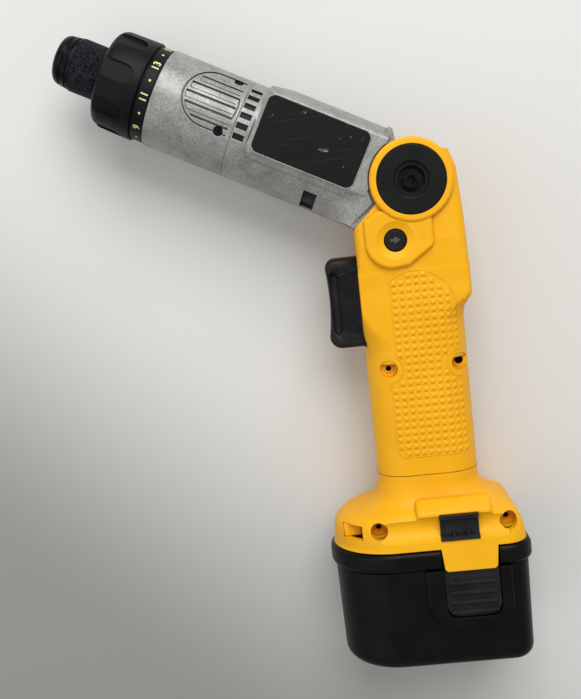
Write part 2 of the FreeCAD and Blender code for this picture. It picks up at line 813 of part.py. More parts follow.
def teeth(body, pitch, sign, front, width, count, spin=None):
    sketch = sketch_on(body, "YZ_Plane", "-%s" % front, spin)
    foot = "%s - (%s) * %s" % (pitch, tooth_root, sign)
    buried = "%s - gear_module * 0.4 * %s" % (foot, sign)
    tip = "%s + (%s) * %s" % (pitch, tooth_tip, sign)
    draw_path(sketch, [
        (buried, "-gear_module * 0.76"),
        (foot, "-gear_module * 0.76"),
        (pitch, "-gear_module * 0.63"),
        (tip, "-gear_module * 0.32"),
        (tip, "gear_module * 0.32"),
        (pitch, "gear_module * 0.63"),
        (foot, "gear_module * 0.76"),
        (buried, "gear_module * 0.76"),
    ])
    polar(body, [pad(body, sketch, width)], "X_Axis", count)


def toothed_ring(label, back, front):
    body = piece(label)
    sketch = sketch_on(body, "YZ_Plane", "-%s" % front)
    draw_circle(sketch, "0", "0", can_radius)
    draw_circle(sketch, "0", "0", "%s + %s" % (ring_pitch, tooth_root))
    pad(body, sketch, "%s - %s" % (front, back))
    teeth(body, ring_pitch, "-1", front, "%s - %s" % (front, back), "sun_teeth + 2 * planet_teeth")
    return on_barrel(body)


nodes.append(on_barrel(turned("gear_plate", [
    ("-%s - seat_gap" % spigot_end, "can_boss + 1"),
    ("-%s - seat_gap" % spigot_end, can_radius),
    ("-%s" % plate_end, can_radius),
    ("-%s" % plate_end, "can_boss + 1"),
])))
nodes.append(toothed_ring("ring_gear", "(%s + seat_gap)" % plate_end, stage_one_end))
nodes.append(toothed_ring("clutch_gear", stage_two, "(%s - slide_gap)" % wall_back))
pinion = piece("pinion")
pinion_body = sketch_on(pinion, "YZ_Plane", "-%s" % stage_one_end)
draw_circle(pinion_body, "0", "0", "%s - %s" % (sun_pitch, tooth_root))
draw_circle(pinion_body, "0", "0", shaft_hole)
pad(pinion, pinion_body, "stage_width")
teeth(pinion, sun_pitch, "1", stage_one_end, "stage_width", "sun_teeth")
nodes.append(on_barrel(pinion))

# A planet faces both sun and ring with a gap between its teeth, half a pitch from upright.
stage_two_width = "(%s - %s)" % (stage_two_end, stage_two)
for stage, front, width in ((1, stage_one_end, "stage_width"), (2, stage_two_end, stage_two_width)):
    for i, letter in enumerate("abc"):
        planet = piece("planet_%d%s" % (stage, letter))
        blank = sketch_on(planet, "YZ_Plane", "-%s" % front)
        draw_circle(blank, "0", "0", "%s - %s" % (planet_pitch, tooth_root))
        draw_circle(blank, "0", "0", "pin_radius + run_gap")
        pad(planet, blank, width)
        teeth(planet, planet_pitch, "1", front, width, "planet_teeth", "180 / planet_teeth")
        angle = "(%d * 360 / planet_count)" % i
        nodes.append(on_barrel(planet, "%s * cos%s" % (gear_radius, angle),
                               "%s * sin%s" % (gear_radius, angle)))


def pins(body, front, length):
    sketch = sketch_on(body, "YZ_Plane", "-%s" % front)
    draw_circle(sketch, gear_radius, "0", "pin_radius")
    polar(body, [pad(body, sketch, length)], "X_Axis", "planet_count")


disc_radius = "(%s + pin_radius + 1.5)" % gear_radius
carrier = piece("planet_carrier")
carrier_disc = sketch_on(carrier, "YZ_Plane", "-%s" % carrier_front)
draw_circle(carrier_disc, "0", "0", disc_radius)
pad(carrier, carrier_disc, "carrier_thick")
pins(carrier, "(%s + 0.5)" % carrier_back, "stage_width + slide_gap + 0.5")
sun_core = sketch_on(carrier, "YZ_Plane", "-%s" % stage_two_end)
draw_circle(sun_core, "0", "0", "%s - %s" % (sun_pitch, tooth_root))
pad(carrier, sun_core, "%s - %s + 0.5" % (stage_two_end, carrier_front))
teeth(carrier, sun_pitch, "1", stage_two_end, "%s - %s" % (stage_two_end, stage_two), "sun_teeth")
nodes.append(on_barrel(carrier))

# Output spindle: carrier disc and pins behind, quarter-inch hex socket in front.
spindle = turned("spindle", [
    ("-%s" % disc_back, "0"),
    ("-%s" % disc_back, disc_radius),
    ("-%s" % disc_front, disc_radius),
    ("-%s" % disc_front, "spindle_radius"),
    ("-%s" % nose_front, "spindle_radius"),
    ("-%s" % nose_front, "chuck_radius"),
    ("-%s + retainer_thick + seat_gap" % retainer_front, "chuck_radius"),
    ("-%s + retainer_thick + seat_gap" % retainer_front, "chuck_radius - 0.7"),
    ("-%s - seat_gap" % retainer_front, "chuck_radius - 0.7"),
    ("-%s - seat_gap" % retainer_front, "chuck_radius"),
    ("-%s + 0.6" % chuck_front, "chuck_radius"),
    ("-%s" % chuck_front, "chuck_radius - 0.6"),
    ("-%s" % chuck_front, "0"),
])
pins(spindle, "(%s + 0.5)" % disc_back, "%s - %s + 0.5" % (disc_back, stage_two))
socket = sketch_on(spindle, "YZ_Plane", "-%s" % chuck_front)
draw_path(socket, [("hex_flats / sqrt(3) * cos(%d)" % a, "hex_flats / sqrt(3) * sin(%d)" % a)
                   for a in range(30, 390, 60)])
pocket(spindle, socket, "hex_depth", True)
ball_reach = "(%s + collar_guide / 2)" % collar_back
ball_bore = sketch_on(spindle, "XY_Plane", "-chuck_radius - 1")
draw_circle(ball_bore, "-%s" % ball_reach, "0", "bit_ball_radius + seat_gap")
pocket(spindle, ball_bore, "2 * chuck_radius + 2", True)
nodes.append(on_barrel(spindle))
bit_balls = [primitive("Sphere", "bit_ball", {"Radius": "bit_ball_radius"}, "-%s" % ball_reach, "0",
                       "%d * (chuck_radius - bit_ball_radius - seat_gap)" % side) for side in (1, -1)]
nodes.append(on_barrel(group("bit_balls", bit_balls)))
nodes.append(on_barrel(turned("spindle_bush", [
    ("-%s + 1 + bush_length" % nose_front, "spindle_radius + run_gap"),
    ("-%s + 1 + bush_length" % nose_front, bush_radius),
    ("-%s + 1" % nose_front, bush_radius),
    ("-%s + 1" % nose_front, "spindle_radius + run_gap"),
])))
nodes.append(on_barrel(turned("collar_retainer", [
    ("-%s + retainer_thick" % retainer_front, "chuck_radius - 0.6"),
    ("-%s + retainer_thick" % retainer_front, "collar_bore - slide_gap"),
    ("-%s" % retainer_front, "collar_bore - slide_gap"),
    ("-%s" % retainer_front, "chuck_radius - 0.6"),
])))

# Torque clutch: balls in the case wall, plate, spring and nut inside the numbered ring.
clutch_balls = []
for i in range(int(number("ball_count"))):
    angle = "(%d * 360 / ball_count)" % i
    for row in (1, 3):
        clutch_balls.append(primitive("Sphere", "clutch_ball", {"Radius": "ball_radius"},
                                      "-%s - ball_radius * %d - 0.05" % (wall_back, row),
                                      "ball_circle * cos%s" % angle, "ball_circle * sin%s" % angle))
nodes.append(on_barrel(group("clutch_balls", clutch_balls)))
nodes.append(on_barrel(turned("clutch_plate", [
    ("-%s - slide_gap" % band_reach, "nose_radius + slide_gap"),
    ("-%s - slide_gap" % band_reach, "%s - slide_gap" % clutch_bore),
    ("-%s + slide_gap" % spring_back, "%s - slide_gap" % clutch_bore),
    ("-%s + slide_gap" % spring_back, "nose_radius + slide_gap"),
])))
clutch_coil = coil("clutch_coil", "(nose_radius + %s) / 2" % clutch_bore, "clutch_wire",
                   "clutch_spring_length", "3")
clutch_coil.Placement = FreeCAD.Placement(Vector(), FreeCAD.Rotation(Vector(0, 1, 0), -90))
bind(clutch_coil, "Placement.Base.x", "-%s - clutch_wire" % spring_back)
nodes.append(on_barrel(group("clutch_spring", [clutch_coil])))
nodes.append(on_barrel(turned("clutch_nut", [
    ("-%s" % nut_back, "nose_radius + slide_gap"),
    ("-%s" % nut_back, "%s - slide_gap / 2" % clutch_bore),
    ("-%s - clutch_nut_length" % nut_back, "%s - slide_gap / 2" % clutch_bore),
    ("-%s - clutch_nut_length" % nut_back, "nose_radius + slide_gap"),
])))
clutch_ring = turned("clutch_ring", [
    ("-%s" % clutch_back, clutch_bore),
    ("-%s" % clutch_back, "barrel_radius - 0.5"),
    ("-%s - clutch_band" % clutch_back, "barrel_radius - 0.5"),
    ("-%s - clutch_band" % clutch_back, "barrel_radius - 1.1"),
    ("-%s - clutch_band - 0.9" % clutch_back, "barrel_radius - 1.1"),
    ("-%s - clutch_band - 0.9" % clutch_back, "barrel_radius - 0.2"),
    ("-%s - clutch_band - 1.5" % clutch_back, "barrel_radius + 0.4"),
    ("-%s + clutch_shoulder" % clutch_front, "barrel_radius", "clutch_shoulder"),
    ("-%s" % clutch_front, "barrel_radius - clutch_shoulder"),
    ("-%s" % clutch_front, "collar_radius + slide_gap"),
    ("-%s + clutch_front_wall" % clutch_front, "collar_radius + slide_gap"),
    ("-%s + clutch_front_wall" % clutch_front, clutch_bore),
])
scoop = sketch_on(clutch_ring, "XY_Plane")
scoop_axis = "barrel_radius + scoop_radius - scoop_depth"
draw_path(scoop, [
    ("-%s - 1" % clutch_front, scoop_axis),
    ("-%s + scoop_length - scoop_radius - 1" % clutch_front + " + scoop_radius", scoop_axis, "-scoop_radius"),
    ("-%s + scoop_length - scoop_radius - 1" % clutch_front, "barrel_radius - scoop_depth"),
    ("-%s - 1" % clutch_front, "barrel_radius - scoop_depth"),
])
axle_line = Part.LineSegment(Vector(-200, number(scoop_axis), 0), Vector(0, number(scoop_axis), 0))
axle = scoop.addGeometry(axle_line, True)
tie(scoop, "DistanceY", axle, 1, scoop_axis)
tie(scoop, "DistanceY", axle, 2, scoop_axis)
polar(clutch_ring, [turn(clutch_ring, scoop, "Groove", "Axis0")], "X_Axis", "clutch_scoops")
nodes.append(on_barrel(clutch_ring))

# Quick-release collar, stepped at its rounded front.
nodes.append(on_barrel(turned("bit_collar", [
    ("-%s" % collar_back, "chuck_radius + slide_gap / 2"),
    ("-%s" % collar_back, "collar_radius - 0.5"),
    ("-%s - 0.5" % collar_back, "collar_radius"),
    ("-%s + 6.6" % collar_front, "collar_radius"),
    ("-%s + 6.6" % collar_front, "collar_radius - 0.7"),
    ("-%s + 5.8" % collar_front, "collar_radius - 0.7"),
    ("-%s + 5.8" % collar_front, "collar_radius - 0.2"),
    ("-%s + 3.9" % collar_front, "collar_radius - 0.4"),
    ("-%s + 3.9" % collar_front, "collar_radius - 1.1"),
    ("-%s + 3.2" % collar_front, "collar_radius - 1.1"),
    ("-%s + 3.2" % collar_front, "collar_radius - 0.6", "3.2"),
    ("-%s" % collar_front, "collar_radius - 2.6"),
    ("-%s" % collar_front, "collar_lip"),
    ("-%s + 0.9" % collar_front, "collar_lip"),
    ("-%s + 0.9" % collar_front, "collar_bore"),
    ("-%s - collar_guide" % collar_back, "collar_bore"),
    ("-%s - collar_guide" % collar_back, "chuck_radius + slide_gap / 2"),
])))
collar_coil = coil("collar_coil", "(chuck_radius + collar_bore) / 2", "collar_wire",
                   "collar_spring_length", "3")
collar_coil.Placement = FreeCAD.Placement(Vector(), FreeCAD.Rotation(Vector(0, 1, 0), -90))
bind(collar_coil, "Placement.Base.x", "-%s - collar_guide - slide_gap - collar_wire" % collar_back)
nodes.append(on_barrel(group("collar_spring", [collar_coil])))

# Handle: half of a moulded shell, built on the parting plane and mirrored for the other side.
# Corners of the head that follow the barrel are given in the barrel's own directions.
def beside(forward, down):
    return ("pivot_x - (%s) * cos(barrel_tilt) - (%s) * sin(barrel_tilt)" % (forward, down),
            "pivot_y + (%s) * sin(barrel_tilt) - (%s) * cos(barrel_tilt)" % (forward, down))


grip_front = "-grip_fore"
grip_rear = "grip_aft"
slot_rear = "(pivot_x + hub_radius + slide_gap * 2)"
slot_half = "(hub_half + slide_gap)"
head_low = "pivot_y - head_drop"
handle = piece("handle_form")
head = sketch_on(handle, "XY_Plane")
draw_path(head, [
    (grip_front, head_low, "-head_arch"),
    (grip_rear, head_low),
    ("head_rear", "pivot_y - head_drop + 6", "head_bow"),
    ("pivot_x + spine_reach", "pivot_y + spine_rise - 7"),
    ("pivot_x + spine_reach - 2.5", "pivot_y + spine_rise"),
    ("pivot_x + ear_radius * 0.68", "pivot_y + spine_rise"),
    ("pivot_x + ear_radius * 0.6", "pivot_y + ear_radius * 0.5"),
    ("pivot_x - ear_radius * 0.3", "pivot_y + ear_radius * 0.2"),
    beside("ear_radius * 0.57", "ear_radius * 0.9"),
    beside("cheek_reach", "barrel_radius + axis_drop + slide_gap"),
])
pad(handle, head, "head_half")
soften(handle, "head_edge", lambda e: middle_of(e).z > number("head_half") - 0.01
       and middle_of(e).x > number(slot_rear) + 0.1 and middle_of(e).y < number("pivot_y + spine_rise - 0.1"))
soften(handle, "cheek_edge", lambda e: middle_of(e).z > number("head_half") - 0.01
       and middle_of(e).x < number("-grip_fore + 1"))
ear = sketch_on(handle, "XY_Plane")
draw_circle(ear, "pivot_x", "pivot_y", "ear_radius")
pad(handle, ear, "ear_face")
soften(handle, "1.2",
       lambda e: e.Curve.TypeId == "Part::GeomCircle" and e.Vertexes[0].Z > number("ear_face") - 0.01)
blend = sketch_on(handle, "YZ_Plane", "-grip_fore - 5")
draw_path(blend, [
    ("pivot_y - head_drop - 1", "grip_width / 2 + head_lip"),
    ("pivot_y - head_drop + 8", "grip_width / 2 + head_lip"),
    ("pivot_y - head_drop + head_blend", "head_half"),
    ("pivot_y - head_drop + head_blend", "head_half + 3"),
    ("pivot_y - head_drop - 1", "head_half + 3"),
])
pocket(handle, blend, "grip_fore + head_rear + 10", True)


# Half sections across the grip and foot: flat on the parting plane, rounded nose and heel.
def half_section(body, level, front, rear, half, nose, heel, floor="0"):
    sketch = sketch_on(body, "XZ_Plane", "-(%s)" % level)
    draw_path(sketch, [
        (front, floor),
        (rear, floor),
        (rear, "%s - (%s)" % (half, heel), heel),
        ("%s - (%s)" % (rear, heel), half),
        ("%s + %s" % (front, nose), half, nose),
        (front, "%s - (%s)" % (half, nose)),
    ])
    return sketch


pad(handle, half_section(handle, "pivot_y - head_drop + 20", grip_front, grip_rear, "grip_width / 2",
                         "grip_corner", "grip_corner"), "pivot_y - head_drop + 20 - crease_y")
flare = [(0, 0, 0, 0, 0), (0.24, 0.09, 0.2, 0.12, 0.1), (0.40, 0.42, 0.55, 0.46, 0.4),
         (0.52, 0.80, 0.80, 0.79, 0.75), (0.70, 0.95, 0.93, 0.95, 0.95), (1, 1, 1, 1, 1)]


def flare_section(body, share, inset, floor):
    down, front, rear, half, round_share = share
    return half_section(
        body,
        "crease_y - %s * (crease_y - foot_bottom) - %s" % (down, inset),
        "-(grip_fore + %s * (foot_front - grip_fore) - %s)" % (front, inset),
        "(grip_aft + %s * (foot_rear - grip_aft) - %s)" % (rear, inset),
        "(grip_width / 2 + %s * (foot_half - grip_width / 2) - %s)" % (half, inset),
        "(grip_corner + %s * (foot_nose - grip_corner) - %s)" % (round_share, inset),
        "(grip_corner + %s * (foot_heel - grip_corner) - %s)" % (round_share, inset),
        floor)


loft(handle, "Additive", [flare_section(handle, share, "0", "0") for share in flare])
loft(handle, "Subtractive", [flare_section(handle, share, "shell_wall", "-1") for share in flare])
room = half_section(handle, "pivot_y - 20", "(%s + shell_wall)" % grip_front, "(%s - shell_wall)" % grip_rear,
                    "(grip_width / 2 - shell_wall)", "(grip_corner - shell_wall)",
                    "(grip_corner - shell_wall)", "-1")
pocket(handle, room, "pivot_y - 20 - crease_y + shell_wall + 0.1", True)
slot = sketch_on(handle, "XY_Plane", "-1")
draw_path(slot, [
    ("%s + shell_wall" % grip_front, "pivot_y - 33"),
    (slot_rear, "pivot_y - 33"),
    (slot_rear, "pivot_y + ear_radius + 5"),
    ("pivot_x - 60", "pivot_y + ear_radius + 5"),
    beside("60", "barrel_radius + axis_drop + slide_gap * 2"),
    beside("cheek_reach - 3", "barrel_radius + axis_drop + slide_gap * 2"),
    ("%s + shell_wall" % grip_front, "pivot_y - 22"),
])
pocket(handle, slot, "%s + 1" % slot_half, True)
pin_hole = sketch_on(handle, "XY_Plane")
draw_circle(pin_hole, "pivot_x", "pivot_y", "sleeve_radius + seat_gap")
pocket(handle, pin_hole, "ear_face", True)
button_hole = sketch_on(handle, "XY_Plane")
draw_circle(button_hole, "-button_x", "button_y", "button_radius + slide_gap")
pocket(handle, button_hole, "shield_face + 1", True)
mouth = sketch_on(handle, "XY_Plane", "-1")
draw_box(mouth, "%s - 6" % grip_front, "trigger_bottom - slide_gap", "%s + shell_wall + 1" % grip_front,
         "trigger_top + slide_gap")
pocket(handle, mouth, "trigger_half + slide_gap + 1", True)
grip_screws = [("-screw_front", "screw_y"), ("screw_rear", "screw_y")]
foot_screws = [("-foot_screw_front", "channel_y"), ("foot_screw_rear", "channel_y")]
screw_places = grip_screws + foot_screws
bosses = sketch_on(handle, "XY_Plane")
for x, y in foot_screws:
    draw_circle(bosses, x, y, "screw_boss")
pad(handle, bosses, "screw_seat + 10")
front_boss = sketch_on(handle, "XY_Plane")
draw_box(front_boss, "-screw_front - 3.8", "screw_y - screw_boss",
         "-screw_front + screw_boss", "screw_y + screw_boss")
pad(handle, front_boss, "screw_seat + 5.2")
rear_boss = sketch_on(handle, "XY_Plane")
draw_box(rear_boss, "screw_rear - screw_boss", "screw_y - screw_boss",
         "screw_rear + 1.7", "screw_y + screw_boss")
pad(handle, rear_boss, "screw_seat + 2.2")
clip_seat = sketch_on(handle, "XY_Plane", "foot_half - 6.5")
draw_box(clip_seat, "clip_x - clip_length / 2 - 1.5", "foot_bottom + 1.5", "clip_x + clip_length / 2 + 1.5",
         "channel_y + clip_height / 2 + 2.5")
pad(handle, clip_seat, "4")
tongue = sketch_on(handle, "XY_Plane", "foot_half - tongue_thick")
draw_path(tongue, [
    ("tongue_x - tongue_width / 2", "foot_bottom + 2"),
    ("tongue_x - tongue_width / 2 + 1", "foot_bottom - tongue_drop + 1"),
    ("tongue_x - tongue_width / 2 + 2", "foot_bottom - tongue_drop"),
    ("tongue_x + tongue_width / 2 - 2", "foot_bottom - tongue_drop"),
    ("tongue_x + tongue_width / 2 - 1", "foot_bottom - tongue_drop + 1"),
    ("tongue_x + tongue_width / 2", "foot_bottom + 2"),
])
pad(handle, tongue, "tongue_thick")


# The bit channel and the clip's bed, cut from the foot and from the brow above the clip.
def bit_channel(body):
    channel = sketch_on(body, "YZ_Plane", "-foot_screw_front")
    draw_circle(channel, "channel_y", "foot_half + channel_radius - channel_depth", "channel_radius")
    pocket(body, channel, "foot_screw_front + foot_screw_rear", True)
    clip_room = sketch_on(body, "XY_Plane", "foot_half - channel_depth + clip_bed - seat_gap")
    draw_box(clip_room, "clip_x - clip_length / 2 - seat_gap", "channel_y - clip_height / 2 - seat_gap",
             "clip_x + clip_length / 2 + seat_gap", "channel_y + clip_height / 2 + seat_gap")
    pocket(body, clip_room, "channel_depth + 3", True)


bit_channel(handle)
pull = sketch_on(handle, "XY_Plane", "foot_half")
draw_box(pull, "-foot_front + 4.8", "foot_bottom + 5", "-foot_front + 12.4", "foot_bottom + 10.6")
pocket(handle, pull, "17")
shank_holes = sketch_on(handle, "XY_Plane")
for x, y in screw_places:
    draw_circle(shank_holes, x, y, "screw_shank + seat_gap")
pocket(handle, shank_holes, "screw_seat + screw_head_height - 1.5", True)

# Soft-edged shield round the reversing button, and the brow above the bit clip.
shield = piece("shield")
shield_face_line = sketch_on(shield, "XY_Plane", "head_half - 2")
draw_path(shield_face_line, [
    ("-button_x - 12", "button_y + 8.5"),
    ("-button_x - 12", "button_y - 1", "11"),
    ("-button_x - 1.2", "button_y - 10.9"),
    ("-button_x + 4.5", "button_y - 10.2"),
    ("-button_x + 13.4", "button_y - 4.4", "3.4"),
    ("-button_x + 15", "button_y - 1.2"),
    ("-button_x + 15", "button_y + 9"),
    ("-button_x - 6", "button_y + 12.3"),
])
pad(shield, shield_face_line, "shield_face - head_half + 2")
soften(shield, "shield_edge", lambda e: e.BoundBox.ZMin > number("shield_face") - 0.01)
shield_hole = sketch_on(shield, "XY_Plane")
draw_circle(shield_hole, "-button_x", "button_y", "button_radius + slide_gap")
pocket(shield, shield_hole, "shield_face + 1", True)
brow = piece("brow")
brow_side = sketch_on(brow, "YZ_Plane", "clip_x - brow_fore")
draw_path(brow_side, [
    ("channel_y", "foot_half - 8"),
    ("channel_y + brow_rise", "foot_half - 8"),
    ("channel_y + brow_rise", "foot_half - 5.6"),
    ("channel_y + brow_rise - 4.4", "foot_half - 0.4"),
    ("channel_y", "foot_half - 0.4"),
])
pad(brow, brow_side, "brow_fore + brow_aft")
soften(brow, "brow_edge",
       lambda e: middle_of(e).z > number("foot_half - 7.5") and middle_of(e).y > number("channel_y + 0.1"))
bit_channel(brow)
handle_whole = fuse("handle_whole", [handle, shield, brow])

bowl = primitive("Sphere", "button_bowl", {"Radius": "(bowl_radius ^ 2 + bowl_depth ^ 2) / (2 * bowl_depth)"},
                 "-button_x", "button_y",
                 "shield_face + (bowl_radius ^ 2 - bowl_depth ^ 2) / (2 * bowl_depth)")
bowl_right = mirrored("button_bowl_right", bowl)
cap_bed = rod("cap_bed", "cap_radius + seat_gap", "cap_thick + 1", "pivot_x", "pivot_y", "ear_face - cap_thick")
cap_bed_right = mirrored("cap_bed_right", cap_bed)
wells = []
for x, y in screw_places:
    wells.append(rod("screw_well", "screw_recess", "foot_half * 2", x, y, "screw_seat"))
nodes.append(cut("handle_left", handle_whole, [cap_bed, bowl] + wells))
nodes.append(cut("handle_right", mirrored("handle_twin", handle_whole), [cap_bed_right, bowl_right]))


def handle_screw(x, y):
    head = rod("handle_screw_head", "screw_head", "screw_head_height", x, y, "screw_seat + seat_gap")
    shank = rod("handle_screw_shank", "screw_shank", "screw_length", x, y,
                "screw_seat + seat_gap - screw_length")
    cross = []
    for spin in ("0", "90"):
        cross.append(primitive("Box", "handle_screw_cross", {"Length": "3.4", "Width": "0.8", "Height": "2"},
                               "%s - 1.7 * cos(%s) + 0.4 * sin(%s)" % (x, spin, spin),
                               "%s - 1.7 * sin(%s) - 0.4 * cos(%s)" % (y, spin, spin),
                               "screw_seat + screw_head_height - 1.2", Vector(0, 0, 1), spin))
    return cut("handle_screw", fuse("handle_screw_form", [head, shank]), cross)


nodes.append(group("handle_screws", [handle_screw(x, y) for x, y in screw_places]))

# Pivot: caps in the ears, sleeve through the hub, bolt and nut.
cap = piece("pivot_cap_left")
cap_face = sketch_on(cap, "XY_Plane", "ear_face - cap_thick")
draw_circle(cap_face, "pivot_x", "pivot_y", "cap_radius")
draw_circle(cap_face, "pivot_x", "pivot_y", "bolt_radius + seat_gap")
pad(cap, cap_face, "cap_thick")
cap_hub = sketch_on(cap, "XY_Plane", "ear_face - cap_thick")
draw_circle(cap_hub, "pivot_x", "pivot_y", "sleeve_radius")
draw_circle(cap_hub, "pivot_x", "pivot_y", "bolt_radius + seat_gap")
pad(cap, cap_hub, "ear_face - cap_thick - hub_half - slide_gap", True)
cap_dish = sketch_on(cap, "XY_Plane", "ear_face - cap_thick - 1.4")
draw_circle(cap_dish, "pivot_x", "pivot_y", "sleeve_radius - 1")
pocket(cap, cap_dish, "cap_thick + 2", True)
cap_step = sketch_on(cap, "XY_Plane", "ear_face - cap_thick / 2")
draw_circle(cap_step, "pivot_x", "pivot_y", "cap_recess")
pocket(cap, cap_step, "cap_thick", True)
soften(cap, "0.6",
       lambda e: e.Curve.TypeId == "Part::GeomCircle" and e.Vertexes[0].Z > number("ear_face") - 0.01)
nodes.append(cap)
nodes.append(mirrored("pivot_cap_right", cap))
bolt_seat = "(ear_face - cap_thick - 1.4)"
bolt = piece("pivot_bolt")
bolt_top = sketch_on(bolt, "XY_Plane", bolt_seat)
draw_circle(bolt_top, "pivot_x", "pivot_y", "bolt_head")
pad(bolt, bolt_top, "bolt_head_height")
bolt_shank = sketch_on(bolt, "XY_Plane", bolt_seat + " + 0.5")
draw_circle(bolt_shank, "pivot_x", "pivot_y", "bolt_radius")
pad(bolt, bolt_shank, "2 * %s + bolt_head_height - 0.5" % bolt_seat, True)
bolt_socket = sketch_on(bolt, "XY_Plane", bolt_seat + " + bolt_head_height - 2")
draw_path(bolt_socket, [("pivot_x + bolt_hex / sqrt(3) * cos(%d)" % a,
                         "pivot_y + bolt_hex / sqrt(3) * sin(%d)" % a) for a in range(0, 360, 60)])
pocket(bolt, bolt_socket, "3", True)
nodes.append(bolt)
nut = piece("pivot_nut")
nut_face = sketch_on(nut, "XY_Plane", "-" + bolt_seat)
draw_path(nut_face, [("pivot_x + bolt_head * cos(%d)" % a, "pivot_y + bolt_head * sin(%d)" % a)
                     for a in range(0, 360, 60)])
draw_circle(nut_face, "pivot_x", "pivot_y", "bolt_radius + seat_gap")
pad(nut, nut_face, "bolt_head_height", True)
nodes.append(nut)
sleeve = piece("pivot_sleeve")
tube = sketch_on(sleeve, "XY_Plane", "-hub_half - slide_gap / 2")
draw_circle(tube, "pivot_x", "pivot_y", "sleeve_radius")
draw_circle(tube, "pivot_x", "pivot_y", "bolt_radius + seat_gap")
pad(sleeve, tube, "2 * hub_half + slide_gap")
nodes.append(sleeve)

# Push-through reversing button with a fork groove round its middle.
button = piece("reversing_button")
stem = sketch_on(button, "XY_Plane", "-button_half")
draw_circle(stem, "-button_x", "button_y", "button_radius")
pad(button, stem, "2 * button_half")
neck = sketch_on(button, "XY_Plane", "-button_throw - 2")
draw_circle(neck, "-button_x", "button_y", "button_radius + 1")
draw_circle(neck, "-button_x", "button_y", "button_radius - 1.4")
pocket(button, neck, "2 * button_throw + 4", True)
soften(button, "0.7", lambda e: e.Curve.TypeId == "Part::GeomCircle"
       and abs(e.Vertexes[0].Z) > number("button_half") - 0.01)
nodes.append(button)

# Trigger: curved finger face, flange behind the mouth and a plunger into the switch.
trigger = piece("trigger")
paddle = sketch_on(trigger, "XY_Plane", "-trigger_half")
face = "(%s - trigger_reach)" % grip_front
flange_front = "(%s + shell_wall + flange_back)" % grip_front
draw_path(paddle, [
    (flange_front, "trigger_bottom"),
    (flange_front, "trigger_top"),
    (face + " + 4", "trigger_top", "4"),
    (face, "trigger_top - 4", "-95"),
    (face + " - 0.7", "trigger_bottom + 5", "5"),
    (face + " + 4.3", "trigger_bottom"),
])
pad(trigger, paddle, "2 * trigger_half")
soften(trigger, "trigger_edge", lambda e: abs(middle_of(e).z) > number("trigger_half") - 0.01
       and middle_of(e).x < number("%s + shell_wall" % grip_front))
flange = sketch_on(trigger, "XY_Plane", "-trigger_half - 2")
draw_box(flange, flange_front, "trigger_bottom - 1.5", flange_front + " + flange_thick", "trigger_top - 3")
pad(trigger, flange, "2 * trigger_half + 4")
plunger = sketch_on(trigger, "YZ_Plane", flange_front)
plunger_y = "((trigger_top + trigger_bottom) / 2)"
draw_circle(plunger, plunger_y, "0", "plunger_radius")
pad(trigger, plunger, "grip_fore - shell_wall - flange_back - switch_front + 2")
nodes.append(trigger)
switch = piece("switch_module")
switch_box = sketch_on(switch, "XY_Plane", "-switch_half")
draw_path(switch_box, [
    ("-switch_front", "switch_bottom"),
    ("switch_rear", "switch_bottom"),
    ("switch_rear", "switch_top - 4"),
    ("switch_rear - 4", "switch_top"),
    ("-switch_front", "switch_top"),
])
pad(switch, switch_box, "2 * switch_half")
switch_bore = sketch_on(switch, "YZ_Plane", "-switch_front")
draw_circle(switch_bore, plunger_y, "0", "plunger_radius + slide_gap")
pocket(switch, switch_bore, "2 + trigger_travel + 1", True)
lever = sketch_on(switch, "XY_Plane", "-1")
draw_box(lever, "-button_x - 1.5", "switch_top - 1", "-button_x + 1.5", "button_y - button_radius + 0.8")
pad(switch, lever, "2")
nodes.append(switch)

# Spring bit clips in the foot's channels.
clip = piece("bit_clip_left")
clip_back = "(foot_half - channel_depth + clip_bed)"
strap = sketch_on(clip, "YZ_Plane", "clip_x - clip_length / 2")
draw_path(strap, [
    ("channel_y - clip_height / 2", "foot_half + 0.6"),
    ("channel_y - clip_height / 2 + clip_thick", "foot_half + 0.6"),
    ("channel_y - clip_height / 2 + clip_thick", clip_back + " + 1.6"),
    ("channel_y + clip_height / 2 - clip_thick", clip_back + " + 1.6"),
    ("channel_y + clip_height / 2 - clip_thick", "foot_half + 1.2"),
    ("channel_y + clip_height / 2", "foot_half + 1.2"),
    ("channel_y + clip_height / 2", clip_back),
    ("channel_y - clip_height / 2", clip_back),
])
pad(clip, strap, "clip_length")
fingers = sketch_on(clip, "XY_Plane", clip_back + " + 1.4")
for x in ("clip_x - 2.6", "clip_x + 3.2"):
    draw_box(fingers, x + " - 0.5", "channel_y - clip_height / 2 + 0.4", x + " + 0.5",
             "channel_y - clip_height / 2 + clip_thick + 2")
pad(clip, fingers, "channel_depth - clip_bed - 0.8")
nodes.append(clip)
nodes.append(mirrored("bit_clip_right", clip))

# Battery terminals in the bottom of the grip.
terminal_block = piece("terminal_block")
block_base = sketch_on(terminal_block, "XY_Plane", "-grip_width / 2 + shell_wall + slide_gap")
draw_box(block_base, "-terminal_half", "terminal_y", "terminal_half", "terminal_y + terminal_height")
pad(terminal_block, block_base, "grip_width - 2 * shell_wall - 2 * slide_gap")
nodes.append(terminal_block)
blades = []
for side in (-1, 1):
    blades.append(primitive("Box", "terminal", {"Length": "blade_thick", "Width": "terminal_y - tower_top + 8",
                                                "Height": "blade_width"},
                            "%d * blade_spread / 2 - blade_thick / 2" % side, "tower_top - 8", "-blade_width / 2"))
nodes.append(group("terminals", blades))


